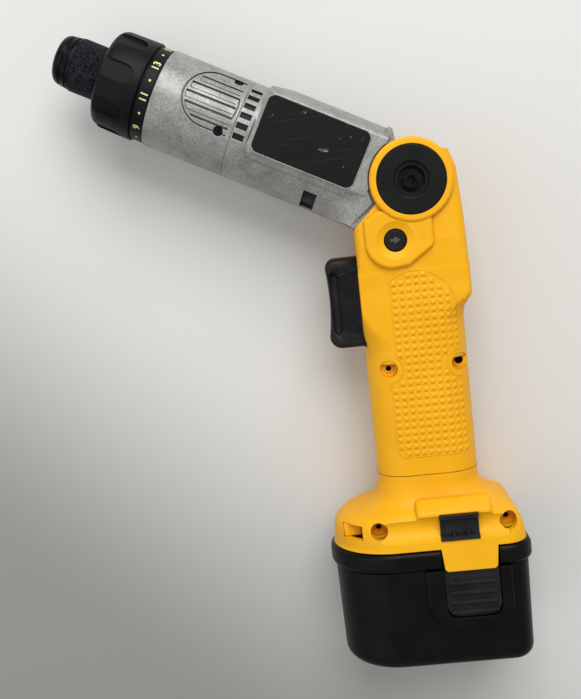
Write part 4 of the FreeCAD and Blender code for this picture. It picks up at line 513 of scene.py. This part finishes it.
# how far the grip's side stands from the middle plane
def gripHeight(x, y):
    front, rear, half, nose, heel = gripSection(y)
    if x < front + nose:
        return half - nose + math.sqrt(nose ** 2 - (front + nose - x) ** 2)
    if x > rear - heel:
        return half - heel + math.sqrt(heel ** 2 - (x - rear + heel) ** 2)
    return half


# cheeks that carry the grip's sides into the head, sunk into the shells at both ends
cheek = {"low": 126, "high": 166, "rows": 48, "ledge": 11.2, "noseSteps": 12, "heelSteps": 14,
         "wall": 0.8, "sink": 0.25, "proud": 0.06, "sinkLow": 3, "sinkHigh": 4, "ledgeWide": 3}


def cheekRow(y):
    front, rear, half, nose, heel = gripSection(y)
    low, high = cheek["low"], cheek["high"]
    nearEnd = 1 - ease(y, low, low + cheek["sinkLow"]) + ease(y, high - cheek["sinkHigh"], high)
    sunk = (cheek["sink"] + cheek["proud"]) * nearEnd - cheek["proud"]
    front, rear, half = front + sunk, rear - sunk, half - sunk
    turn = math.asin(max(0, (cheek["ledge"] - half + nose) / nose))
    foot = front + nose * (1 - math.cos(turn))
    row = [(foot + cheek["ledgeWide"], cheek["ledge"]), (foot, cheek["ledge"])]
    row += arcPoints((front + nose, half - nose), nose, 180 - math.degrees(turn), 90, cheek["noseSteps"])
    row += arcPoints((rear - heel, half - heel), heel, 90, 0, cheek["heelSteps"])
    return row + [(rear, 0)]


def gripCheek(name, outward):
    tall = cheek["high"] - cheek["low"]
    heights = [cheek["low"] + tall * i / cheek["rows"] for i in range(cheek["rows"] + 1)]
    rows = [cheekRow(y) for y in heights]

    def place(column, row):
        x, z = rows[row][column]
        return Vector((x, heights[row], outward * z)) * mm

    piece = addSheet(len(rows[0]) - 1, cheek["rows"], place)
    bpy.ops.object.mode_set(mode="EDIT")
    bpy.ops.mesh.select_all(action="SELECT")
    bpy.ops.mesh.remove_doubles(threshold=0.005 * mm)
    if outward < 0:
        bpy.ops.mesh.flip_normals()
    bpy.ops.object.mode_set(mode="OBJECT")
    applyModifier(piece, "SOLIDIFY", thickness=cheek["wall"] * mm, offset=-1)
    return finishPiece(piece, name, "handle", finishes["yellow_plastic"])


gripCheek("cheek_left", 1)
gripCheek("cheek_right", -1)
print("cheeks done")

# textured panel on each side of the grip: rows of small pyramids inside a raised border
panel = {
    "columns": 10, "rows": 26, "pitchAcross": 3.0, "pitchDown": 2.88,
    "left": -12.8, "upperLeft": -9.8, "right": 16.2, "top": 162.6, "bottom": 87.4,
    "archCentre": (0, 146.8), "archRadius": 15.9, "corner": 4,
    "screws": [(-13.2, 124), (15.6, 124)], "screwClear": 5.6,
    "flatFrom": -8.6, "flatTo": 6.6, "sideRound": 13,
    "lift": 0.12, "floor": 0.42, "slope": 0.68, "rise": 0.55, "bead": 0.28, "beadStep": 0.8,
    "roundClear": 1.2, "edgeClear": 1, "borderIn": 0.3,
}


# distance round the grip's side turned into distance across it
def acrossGrip(along):
    sideRound = panel["sideRound"]
    if along > panel["flatTo"]:
        return panel["flatTo"] + sideRound * math.sin((along - panel["flatTo"]) / sideRound)
    if along < panel["flatFrom"]:
        return panel["flatFrom"] - sideRound * math.sin((panel["flatFrom"] - along) / sideRound)
    return along


def insidePanel(x, y):
    archReach = panel["archRadius"] - panel["roundClear"]
    if y > panel["archCentre"][1] and math.dist((x, y), panel["archCentre"]) > archReach:
        return False
    screwReach = panel["screwClear"] + panel["roundClear"]
    if any(math.dist((x, y), screw) < screwReach for screw in panel["screws"]):
        return False
    if y > panel["screws"][0][1] and x < panel["upperLeft"] + panel["edgeClear"]:
        return False
    cornerX, cornerY = panel["left"] + panel["corner"], panel["bottom"] + panel["corner"]
    cornerReach = panel["corner"] - panel["edgeClear"]
    return not (x < cornerX and y < cornerY and math.dist((x, y), (cornerX, cornerY)) > cornerReach)


def gripPyramids(name, outward):
    def place(column, row):
        x = acrossGrip(panel["left"] + column * panel["pitchAcross"])
        y = panel["bottom"] + row * panel["pitchDown"]
        return Vector((x, y, outward * (gripHeight(x, y) + panel["lift"]))) * mm

    piece = addSheet(panel["columns"], panel["rows"], place)
    bpy.ops.object.mode_set(mode="EDIT")
    bpy.ops.mesh.select_mode(type="FACE")
    bpy.ops.mesh.select_all(action="DESELECT")
    bpy.ops.object.mode_set(mode="OBJECT")
    for face in piece.data.polygons:
        face.select = not insidePanel(face.center.x / mm, face.center.y / mm)
    bpy.ops.object.mode_set(mode="EDIT")
    bpy.ops.mesh.delete(type="FACE")
    bpy.ops.mesh.select_all(action="SELECT")
    if outward < 0:
        bpy.ops.mesh.flip_normals()
    bpy.ops.mesh.inset(thickness=panel["floor"] * mm, depth=0, use_individual=True)
    bpy.ops.mesh.inset(thickness=panel["slope"] * mm, depth=panel["rise"] * mm, use_individual=True)
    return finishPiece(piece, name, "handle", finishes["yellow_plastic"], 20)


# the border runs down the front, round the front screw, along the bottom and up round the rear screw
def panelOutline():
    front, rear = panel["screws"]
    clear, corner, left = panel["screwClear"], panel["corner"], panel["left"]
    archX, archY = panel["archCentre"]
    archEnd = math.degrees(math.acos((panel["upperLeft"] - archX) / panel["archRadius"]))
    frontIn = math.degrees(math.acos((panel["upperLeft"] - front[0]) / clear))
    frontOut = -math.degrees(math.acos((left - front[0]) / clear))
    right = panel["right"] - panel["borderIn"]
    rearTurn = math.degrees(math.acos((rear[0] - panel["right"] + panel["borderIn"]) / clear))
    points = arcPoints((archX, archY), panel["archRadius"], 0, archEnd, 40)
    points += arcPoints(front, clear, frontIn, frontOut, 20)
    points += arcPoints((left + corner, panel["bottom"] + corner), corner, 180, 270, 8)
    points += arcPoints((right - corner, panel["bottom"] + corner), corner, 270, 360, 8)
    points += arcPoints(rear, clear, 180 + rearTurn, 180 - rearTurn, 20)
    return points


# a closed line of points with none further apart than the step
def filledLine(points, step):
    filled = []
    for (x, y), (nextX, nextY) in zip(points, points[1:] + points[:1]):
        count = max(1, math.ceil(math.dist((x, y), (nextX, nextY)) / step))
        filled += [(x + (nextX - x) * i / count, y + (nextY - y) * i / count) for i in range(count)]
    return filled


def panelBorder(name, outward):
    points = filledLine(panelOutline(), panel["beadStep"])
    line = [Vector((x, y, outward * gripHeight(x, y))) * mm for x, y in points]
    piece = addTube(name, line, panel["bead"], True)
    return finishPiece(piece, name, "handle", finishes["yellow_plastic"])


for name, outward in (("left", 1), ("right", -1)):
    gripPyramids("grip_texture_" + name, outward)
    panelBorder("grip_border_" + name, outward)
print("grip texture done")

# stepped seats at the bottom of the screw wells, each with a lip round the screw's hole
seat = {"radius": 3.45, "lip": 1.9, "lipSlope": 0.12, "hole": 1.2, "holeSlope": 0.02,
        "rise": 0.4, "deep": 1.2,
        "places": [(-13.2, 124, 13.0), (-23.8, 59.7, 16.5), (28.0, 59.7, 16.5)]}


def screwSeat(name, placeMm):
    bpy.ops.object.select_all(action="DESELECT")
    bpy.ops.mesh.primitive_circle_add(vertices=40, radius=seat["radius"] * mm, fill_type="NGON",
                                      location=[v * mm for v in placeMm])
    piece = bpy.context.object
    bpy.ops.object.mode_set(mode="EDIT")
    bpy.ops.mesh.select_mode(type="FACE")
    bpy.ops.mesh.select_all(action="SELECT")
    bpy.ops.mesh.inset(thickness=(seat["radius"] - seat["lip"]) * mm, depth=0)
    bpy.ops.mesh.inset(thickness=seat["lipSlope"] * mm, depth=seat["rise"] * mm)
    bpy.ops.mesh.inset(thickness=(seat["lip"] - seat["lipSlope"] - seat["hole"]) * mm, depth=0)
    bpy.ops.mesh.inset(thickness=seat["holeSlope"] * mm, depth=-seat["deep"] * mm)
    bpy.ops.mesh.delete(type="FACE")
    bpy.ops.object.mode_set(mode="OBJECT")
    return finishPiece(piece, name, "handle", finishes["yellow_plastic"])


# the handle's screws, with the grip's rear one drawn down below its well
deepScrew = {"place": (15.6, 124), "reach": 5, "drop": 3.4}


def handleScrews():
    piece = copyNode("handle_screws")
    for vertex in piece.data.vertices:
        if math.dist(vertex.co.xy / mm, deepScrew["place"]) < deepScrew["reach"]:
            vertex.co.z -= deepScrew["drop"] * mm
    finishPiece(piece, "screws_in_handle", "handle", finishes["blackened_steel"])
    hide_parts("handle_screws")


for index, placeMm in enumerate(seat["places"], 1):
    screwSeat("screw_seat_%d" % index, placeMm)
handleScrews()
print("screw seats done")

# trigger: the moulded paddle with a long slot cut down each side
paddle = {"half": 8.6, "slotX": -31.7, "slotLow": 141.3, "slotLong": 21.5,
          "slotRadius": 1.9, "slotDeep": 2.4}


def triggerPaddle():
    piece = copyNode("trigger")
    for outward in (1, -1):
        cutter = addCapsule(paddle["slotRadius"], paddle["slotLong"])
        sunkTo = paddle["half"] + paddle["slotRadius"] - paddle["slotDeep"]
        for vertex in cutter.data.vertices:
            across, out, along = vertex.co / mm
            place = (paddle["slotX"] + across, paddle["slotLow"] + along, outward * (sunkTo + out))
            vertex.co = Vector(place) * mm
        if outward > 0:
            cutter.data.flip_normals()
        cutAway(piece, cutter)
    finishPiece(piece, "trigger_paddle", "trigger", finishes["black_plastic"])
    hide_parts("trigger")


triggerPaddle()
print("trigger done")


def latchSpring(side):
    node = "latch_spring_" + side
    piece = copyNode(node)
    finishPiece(piece, "spring_of_latch_" + side, "battery", finishes["spring_steel"])
    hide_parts(node)
    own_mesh(piece)


latchSpring("left")
latchSpring("right")
print("latch springs done")


# how far a point lies towards the tip
def alongTip(point):
    return (Vector(point) - barrelStart).dot(barrelTip)


# clutch ring: printed band, groove, and a grip with long round-ended scallops open to the front
ring = {
    "profile": [
        (106.3, 17.5), (106.3, 19.2), (106.6, 19.5), (111.1, 19.5), (111.25, 19.0), (111.85, 19.0),
        (112.0, 20.2), (112.4, 20.4), (125.6, 20.1), (126.7, 19.85), (127.6, 19.4), (128.4, 18.7),
        (129.0, 17.8), (129.3, 16.8), (129.3, 12.1), (128.8, 11.6), (120.0, 11.6), (120.0, 17.5),
        (106.3, 17.5),
    ],
    "around": 120, "scallops": 8, "firstDeg": 8,
    "cutRadius": 3.75, "cutFloor": 18.9, "cutFrom": 119.3, "cutLong": 14, "cutDeep": 6,
}


def clutchRing():
    def place(column, row):
        station, radius = ring["profile"][row]
        return roundBarrel(station * mm, radius * mm, 360 * column / ring["around"])

    piece = addSheet(ring["around"], len(ring["profile"]) - 1, place)
    bpy.ops.object.mode_set(mode="EDIT")
    bpy.ops.mesh.select_all(action="SELECT")
    bpy.ops.mesh.remove_doubles(threshold=0.005 * mm)
    bpy.ops.mesh.normals_make_consistent(inside=False)
    bpy.ops.object.mode_set(mode="OBJECT")
    for index in range(ring["scallops"]):
        angle = ring["firstDeg"] + 360 * index / ring["scallops"]
        outward = roundBarrel(0, 1, angle) - barrelStart
        sideways = outward.cross(barrelTip)
        bottom = roundBarrel(ring["cutFrom"] * mm, ring["cutFloor"] * mm, angle)
        bpy.ops.object.select_all(action="DESELECT")
        bpy.ops.mesh.primitive_cylinder_add(vertices=48, radius=ring["cutRadius"] * mm,
                                            depth=ring["cutDeep"] * mm)
        cutter = bpy.context.object
        for vertex in cutter.data.vertices:
            along, across, out = vertex.co
            along += ring["cutLong"] * mm if along > 0.01 * mm else 0
            out += ring["cutDeep"] / 2 * mm
            vertex.co = bottom + barrelTip * along + sideways * across + outward * out
        cutAway(piece, cutter)
    finishPiece(piece, "clutch_grip", "clutch_ring", finishes["black_ring"])
    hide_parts("clutch_ring")


clutchRing()
print("clutch ring done")

# knurling on the quick-release collar: rows of small diamonds, each drawn up to a point
knurl = {"from": 128.6, "to": 142.6, "radius": 10.8, "around": 48, "rows": 10, "rise": 0.36}


def collarKnurl():
    bpy.ops.mesh.primitive_grid_add(x_subdivisions=knurl["around"], y_subdivisions=knurl["rows"], size=1)
    piece = bpy.context.object
    for vertex in piece.data.vertices:
        station = knurl["from"] + (vertex.co.y + 0.5) * (knurl["to"] - knurl["from"])
        vertex.co = roundBarrel(station * mm, knurl["radius"] * mm, vertex.co.x * 360)
    bpy.ops.object.mode_set(mode="EDIT")
    bpy.ops.mesh.select_all(action="SELECT")
    bpy.ops.mesh.remove_doubles(threshold=0.01 * mm)
    bpy.ops.mesh.normals_make_consistent(inside=False)
    bpy.ops.object.mode_set(mode="OBJECT")
    plain = len(piece.data.vertices)
    ends = min(alongTip(v.co) for v in piece.data.vertices), max(alongTip(v.co) for v in piece.data.vertices)
    bpy.ops.object.mode_set(mode="EDIT")
    bpy.ops.mesh.select_all(action="SELECT")
    bpy.ops.mesh.poke()
    bpy.ops.mesh.select_all(action="DESELECT")
    bpy.ops.mesh.select_mode(type="EDGE")
    bpy.ops.object.mode_set(mode="OBJECT")
    for edge in piece.data.edges:
        first, second = (piece.data.vertices[i] for i in edge.vertices)
        places = alongTip(first.co), alongTip(second.co)
        rim = any(max(abs(place - end) for place in places) < 0.1 * mm for end in ends)
        edge.select = max(edge.vertices) < plain and not rim
    bpy.ops.object.mode_set(mode="EDIT")
    bpy.ops.mesh.dissolve_edges(use_verts=False)
    bpy.ops.mesh.select_all(action="SELECT")
    bpy.ops.mesh.poke(offset=knurl["rise"] * mm)
    return finishPiece(piece, "collar_knurl", "collar", wornOxide, 10)


collarKnurl()
print("knurl done")

# settings printed round the clutch ring: odd numbers, with a dot for each even setting
dial = {"settings": 17, "stepDeg": 20, "seenSetting": 11, "seenDeg": -8.3, "station": 108.6, "radius": 19.5,
        "digitSize": 4.0, "spacing": 1.08, "bold": 0.10, "ink": 0.05, "dot": 0.5, "dotRound": 0.03}


# rolls a flat mark round the ring, its top towards the tip
def rollOnDial(piece, angleDeg):
    for vertex in piece.data.vertices:
        turn = angleDeg + math.degrees(vertex.co.x / (dial["radius"] * mm))
        vertex.co = roundBarrel(dial["station"] * mm + vertex.co.y, dial["radius"] * mm + vertex.co.z, turn)


def dialMark(setting):
    if setting % 2:
        bpy.ops.object.text_add(location=(0, 0, 0))
        mark = bpy.context.object
        mark.data.body = str(setting)
        mark.data.size = dial["digitSize"] * mm
        mark.data.offset = dial["bold"] * mm
        mark.data.extrude = dial["ink"] * mm
        mark.data.space_character = dial["spacing"]
        mark.data.align_x = "CENTER"
        mark.data.align_y = "CENTER"
        bpy.ops.object.convert(target="MESH")
    else:
        bpy.ops.mesh.primitive_cylinder_add(vertices=16, radius=dial["dot"] * mm, depth=2 * dial["ink"] * mm)
        bpy.ops.object.mode_set(mode="EDIT")
        bpy.ops.mesh.select_all(action="SELECT")
        bpy.ops.mesh.bevel(offset=dial["dotRound"] * mm, segments=2)
        bpy.ops.object.mode_set(mode="OBJECT")
    mark = bpy.context.object
    rollOnDial(mark, dial["seenDeg"] + (setting - dial["seenSetting"]) * dial["stepDeg"])
    finishPiece(mark, "dial_mark_%02d" % setting, "clutch_ring", ink)


for setting in range(1, dial["settings"] + 1):
    dialMark(setting)
print("dial printed")

# bare nameplate film, drawn out to its full outline, and the housing's raised lip round it
plate = {"longer": 1.075, "taller": 1.09, "top": 20.46}
lip = {"width": 0.4, "proud": 0.16, "round": 0.12}


def plateCopy():
    piece = copyNode("nameplate")
    low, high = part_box("nameplate")
    for vertex in piece.data.vertices:
        out = vertex.co - (low + high) / 2
        height = vertex.co.z - high.z + plate["top"] * mm
        vertex.co = (low + high) / 2
        vertex.co += barrelTip * out.dot(barrelTip) * plate["longer"]
        vertex.co += barrelUp * out.dot(barrelUp) * plate["taller"]
        vertex.co.z = height
    return piece


def plateFace():
    piece = plateCopy()
    finishPiece(piece, "plate_film", "barrel", finishes["plate_film"], 8)
    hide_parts("nameplate")


def plateLip():
    piece = plateCopy()
    top = max(vertex.co.z for vertex in piece.data.vertices)
    for face in piece.data.polygons:
        face.select = face.center.z < top - 0.02 * mm or face.normal.z < 0.9
    bpy.ops.object.mode_set(mode="EDIT")
    bpy.ops.mesh.delete(type="FACE")
    bpy.ops.mesh.select_all(action="SELECT")
    bpy.ops.mesh.dissolve_limited(angle_limit=math.radians(1))
    bpy.ops.mesh.inset(thickness=lip["width"] * mm, depth=0)
    bpy.ops.mesh.delete(type="FACE")
    bpy.ops.object.mode_set(mode="OBJECT")
    applyModifier(piece, "SOLIDIFY", thickness=2 * lip["proud"] * mm, offset=0)
    applyModifier(piece, "BEVEL", width=lip["round"] * mm, segments=2, limit_method="ANGLE")
    return finishPiece(piece, "plate_lip", "barrel", finishes["silver_paint"])


plateFace()
plateLip()
print("nameplate done")

# direction arrows raised on both ends of the reversing button
arrow = {"head": 1.75, "shaft": 1.9, "shaftWide": 1.1, "shaftBack": 0.9, "shift": 0.4,
         "proud": 0.3, "round": 0.12}


def buttonArrow(name, outward):
    low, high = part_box("reversing_button")
    centre = (low + high) / 2
    face = high.z if outward > 0 else low.z
    bpy.ops.mesh.primitive_circle_add(vertices=3, radius=arrow["head"] * mm, fill_type="NGON",
                                      rotation=(0, 0, math.radians(-90 * outward)))
    piece = bpy.context.object
    bpy.ops.object.transform_apply(location=False, rotation=True, scale=False)
    bpy.ops.object.mode_set(mode="EDIT")
    behind = -outward * arrow["head"] * arrow["shaftBack"] * mm
    bpy.ops.mesh.primitive_plane_add(size=arrow["shaft"] * mm, location=(behind, 0, 0))
    bpy.ops.transform.resize(value=(1, arrow["shaftWide"] / arrow["shaft"], 1))
    bpy.ops.mesh.select_all(action="SELECT")
    bpy.ops.transform.translate(value=(centre.x + outward * arrow["shift"] * mm, centre.y, face))
    bpy.ops.object.mode_set(mode="OBJECT")
    applyModifier(piece, "SOLIDIFY", thickness=2 * arrow["proud"] * mm, offset=0)
    applyModifier(piece, "BEVEL", width=arrow["round"] * mm, segments=2, limit_method="ANGLE")
    return finishPiece(piece, name, "reversing_button", arrowNylon)


buttonArrow("button_arrow_left", 1)
buttonArrow("button_arrow_right", -1)
print("button arrows done")

# the housing's sides drawn out to a hollow edge round the pivot's ears
tail = {"fromRise": -19.5, "toRise": 16.4, "rows": 48, "columns": 14, "start": 28.5, "wall": 2.2,
        "earRise": 6, "earClear": 17.5, "edgeStation": 11.0, "edgeRise": -9.6, "edgeSlope": 0.41,
        "flat": 20.35, "flatRise": -6.5, "endRise": -19.5, "endStands": 17.3,
        "shoulder": 18.35, "roundRise": -9.5, "radius": 20, "under": 0.05}


def tailEdge(rise):
    roundEar = math.sqrt(max(0, tail["earClear"] ** 2 - (rise - tail["earRise"]) ** 2))
    besideHead = tail["edgeStation"] + tail["edgeSlope"] * (tail["edgeRise"] - rise)
    return max(roundEar, besideHead)


# how far the side stands out, at the broad end and where the belly is round
def tailStands(rise):
    if rise > tail["flatRise"]:
        return tail["flat"], tail["flat"]
    below = (rise - tail["flatRise"]) / (tail["endRise"] - tail["flatRise"])
    broad = tail["flat"] + (tail["endStands"] - tail["flat"]) * below
    belly = tail["shoulder"]
    if rise < tail["roundRise"]:
        belly = math.sqrt(tail["radius"] ** 2 - rise ** 2) - tail["under"]
    return broad, belly


def housingTail(name, outward):
    def place(column, row):
        rise = tail["fromRise"] + (tail["toRise"] - tail["fromRise"]) * row / tail["rows"]
        share = column / tail["columns"]
        station = tailEdge(rise) + (tail["start"] - tailEdge(rise)) * share
        broad, belly = tailStands(rise)
        stands = broad + (belly - broad) * ease(share, 0, 1)
        return barrelStart + (barrelTip * station + barrelUp * rise + barrelSide * stands * outward) * mm

    piece = addSheet(tail["columns"], tail["rows"], place)
    bpy.ops.object.mode_set(mode="EDIT")
    bpy.ops.mesh.select_all(action="SELECT")
    if outward > 0:
        bpy.ops.mesh.flip_normals()
    bpy.ops.object.mode_set(mode="OBJECT")
    applyModifier(piece, "SOLIDIFY", thickness=tail["wall"] * mm, offset=-1)
    return finishPiece(piece, name, "barrel", finishes["silver_paint"])


housingTail("housing_tail_left", 1)
housingTail("housing_tail_right", -1)
print("housing tails done")

# black sheets under the slot in the belly and under the vents: painted shade, a dark sheet that makes the openings
# look deep and dark
shadeSheets = {
    "slot_floor": {"radius": 18.1, "from": 31.9, "to": 37.3, "low": -78, "high": -45,
                   "rows": 10, "wall": 0.5},
    "vent_floor": {"radius": 19.0, "from": 66.3, "to": 71.3, "low": -40, "high": 76,
                   "rows": 36, "wall": 0.4},
}
sheetColumns = 2


# a black sheet of painted shade, curved under an opening
def motorCover(name, outward, sheetSpec):
    def place(column, row):
        station = sheetSpec["from"] + (sheetSpec["to"] - sheetSpec["from"]) * column / sheetColumns
        turn = math.radians(sheetSpec["low"] + (sheetSpec["high"] - sheetSpec["low"]) * row / sheetSpec["rows"])
        radial = barrelUp * math.sin(turn) + barrelSide * math.cos(turn) * outward
        return barrelStart + (barrelTip * station + radial * sheetSpec["radius"]) * mm

    piece = addSheet(sheetColumns, sheetSpec["rows"], place)
    applyModifier(piece, "SOLIDIFY", thickness=sheetSpec["wall"] * mm, offset=0)
    return finishPiece(piece, name, "barrel", finishes["black_plastic"])


for sheetName, sheetSpec in shadeSheets.items():
    motorCover(sheetName + "_left", 1, sheetSpec)
    motorCover(sheetName + "_right", -1, sheetSpec)
print("motor covers done")

# shallow channels of the ribbed field: each groove's other edge drawn as a dark line of painted shade, with a
# bracket at its round end
ribs = {"turns": [5.2, 17.6, 30.0, 42.4], "height": 7.4,
        "fieldStation": 84, "fieldRise": 6, "fieldRadius": 10, "end": 74.0,
        "radius": 20, "line": 0.17, "steps": 8}
# painted shade: the dark colour of the groove-edge lines
ribShade = lineDirt("painted shade along a moulded edge", "#2E2E2C", "#5A5A57")


def ribChannel(name, turn, sideways):
    def roundEnd(angle):
        rise = ribs["radius"] * math.sin(math.radians(angle)) - ribs["fieldRise"]
        return ribs["fieldStation"] + math.sqrt(max(0, ribs["fieldRadius"] ** 2 - rise ** 2))

    angles = [turn - ribs["height"] * i / ribs["steps"] for i in range(ribs["steps"] + 1)]
    route = [(min(roundEnd(turn), roundEnd(angle)), angle) for angle in angles]
    route.append((ribs["end"], angles[-1]))
    line = [roundBarrel(station * mm, ribs["radius"] * mm, angle) for station, angle in route]
    line = [Vector((point.x, point.y, point.z * sideways)) for point in line]
    piece = addTube(name, line, ribs["line"], False)
    return finishPiece(piece, name, "barrel", ribShade)


for index, turn in enumerate(ribs["turns"], 1):
    ribChannel("rib_edge_left_%d" % index, turn, 1)
    ribChannel("rib_edge_right_%d" % index, turn, -1)
print("rib edges done")

# floor of the pull slot at the front of the foot, seen through its mouth
pull = {"low": (-38.1, 56.1), "high": (-30.7, 61.5), "depthFrom": 11, "depthTo": 14.5, "round": 0.6}


def pullFloor(name, outward):
    nearZ, farZ = sorted((outward * pull["depthFrom"], outward * pull["depthTo"]))
    piece = boxBetween((*pull["low"], nearZ), (*pull["high"], farZ))
    applyModifier(piece, "BEVEL", width=pull["round"] * mm, segments=3, limit_method="NONE")
    return finishPiece(piece, name, "handle", finishes["yellow_plastic"])


pullFloor("pull_floor_left", 1)
pullFloor("pull_floor_right", -1)
print("pull slots done")

# fine mould line round the bottom of the grip, drawn as a dark bead: painted shade where the groove would lie in
# shade
crease = {"height": 79.7, "front": -21.6, "rear": 19.6, "half": 17.5, "round": 13, "line": 0.16}


def gripCrease():
    wide = (crease["rear"] - crease["front"]) * mm
    centre = ((crease["rear"] + crease["front"]) / 2 * mm, crease["height"] * mm, 0)
    bpy.ops.mesh.primitive_plane_add(size=1, location=centre, rotation=(math.radians(90), 0, 0))
    piece = bpy.context.object
    piece.scale = (wide, 2 * crease["half"] * mm, 1)
    bpy.ops.object.transform_apply(location=True, rotation=True, scale=True)
    bpy.ops.object.mode_set(mode="EDIT")
    bpy.ops.mesh.select_all(action="SELECT")
    bpy.ops.mesh.bevel(offset=crease["round"] * mm, segments=14, affect="VERTICES")
    bpy.ops.mesh.select_all(action="SELECT")
    bpy.ops.mesh.delete(type="ONLY_FACE")
    bpy.ops.object.mode_set(mode="OBJECT")
    bpy.ops.object.convert(target="CURVE")
    bpy.context.object.data.bevel_depth = crease["line"] * mm
    bpy.context.object.data.bevel_resolution = 1
    bpy.ops.object.convert(target="MESH")
    # painted shade: the bead's dark yellow stands for the groove's shade
    return finishPiece(bpy.context.object, "grip_mould_line", "handle",
                       lineDirt("painted shade in a mould line", "#5E4108", "#A26D0C"))


gripCrease()
print("mould line done")

# pale bench under the tool, which lies on its right side; its colour is painted darker away from the lamp towards
# the lower left, a painted shadow
bench = {"size": 3.0, "middleY": 0.13, "below": 0.0002, "near": "#DEDEDC", "far": "#93948F",
         "awayFrom": (-0.7, -0.71, 0), "fade": (0.04, 0.20)}
benchPlace = (0, bench["middleY"], cadBox[0][2] - bench["below"])
bpy.ops.mesh.primitive_plane_add(size=bench["size"], location=benchPlace)
floor = bpy.context.object
floor.name = "bench"
floorMaterial, floorTree, floorShader, floorCoords = newMaterial("bench with painted shadow")
away = addNode(floorTree, "VectorMath", {0: floorCoords}, operation="DOT_PRODUCT")
away.inputs[1].default_value = bench["awayFrom"]
fade = addNode(floorTree, "MapRange", {"Value": away.outputs["Value"]}, interpolation_type="SMOOTHSTEP")
fade.inputs["From Min"].default_value, fade.inputs["From Max"].default_value = bench["fade"]
# painted shadow: the bench's colour darkens towards the lower left
floorShadowTone = mixColour(floorTree, fade.outputs["Result"], bench["near"], bench["far"])
floorTree.links.new(floorShadowTone, floorShader.inputs["Base Color"])
floorShader.inputs["Roughness"].default_value = 0.6
floor.data.materials.append(floorMaterial)

# soft light from beyond the barrel and from the right, a broad fill and a pale room
lampAim = Vector((-0.04, 0.13, 0))
lamps = [
    {"name": "key", "place": (0.14, 0.88, 0.82), "size": 0.8, "watts": 9.8},
    {"name": "fill", "place": (-0.75, 0.10, 0.75), "size": 1.0, "watts": 2.2},
]
for lamp in lamps:
    bpy.ops.object.light_add(type="AREA", location=lamp["place"])
    light = bpy.context.object
    light.name = lamp["name"]
    light.data.size = lamp["size"]
    light.data.energy = lamp["watts"]
    aim = lampAim - Vector(lamp["place"])
    light.rotation_euler = aim.to_track_quat("-Z", "Y").to_euler()
world = bpy.data.worlds.new("room")
bpy.context.scene.world = world
world.use_nodes = True
room = world.node_tree.nodes["Background"]
room.inputs["Color"].default_value = linear("#F2F2F0")
room.inputs["Strength"].default_value = 0.48

# hand-held camera close above the tool
view = {"placeMm": (-28.3, 185.2, 415.8), "turnDeg": (-7.31, 2.56, -6.34), "sensor": 36,
        "focalPx": 1001, "imageHigh": 699}
cameraData = bpy.data.cameras.new("camera")
cameraData.sensor_width = view["sensor"]
cameraData.lens = view["sensor"] * view["focalPx"] / view["imageHigh"]
cameraData.clip_start = 0.01
camera = bpy.data.objects.new("camera", cameraData)
bpy.context.scene.collection.objects.link(camera)
camera.location = [v * mm for v in view["placeMm"]]
camera.rotation_euler = [math.radians(v) for v in view["turnDeg"]]
bpy.context.scene.camera = camera
bpy.context.scene.view_settings.view_transform = "Standard"
print("camera and light set")
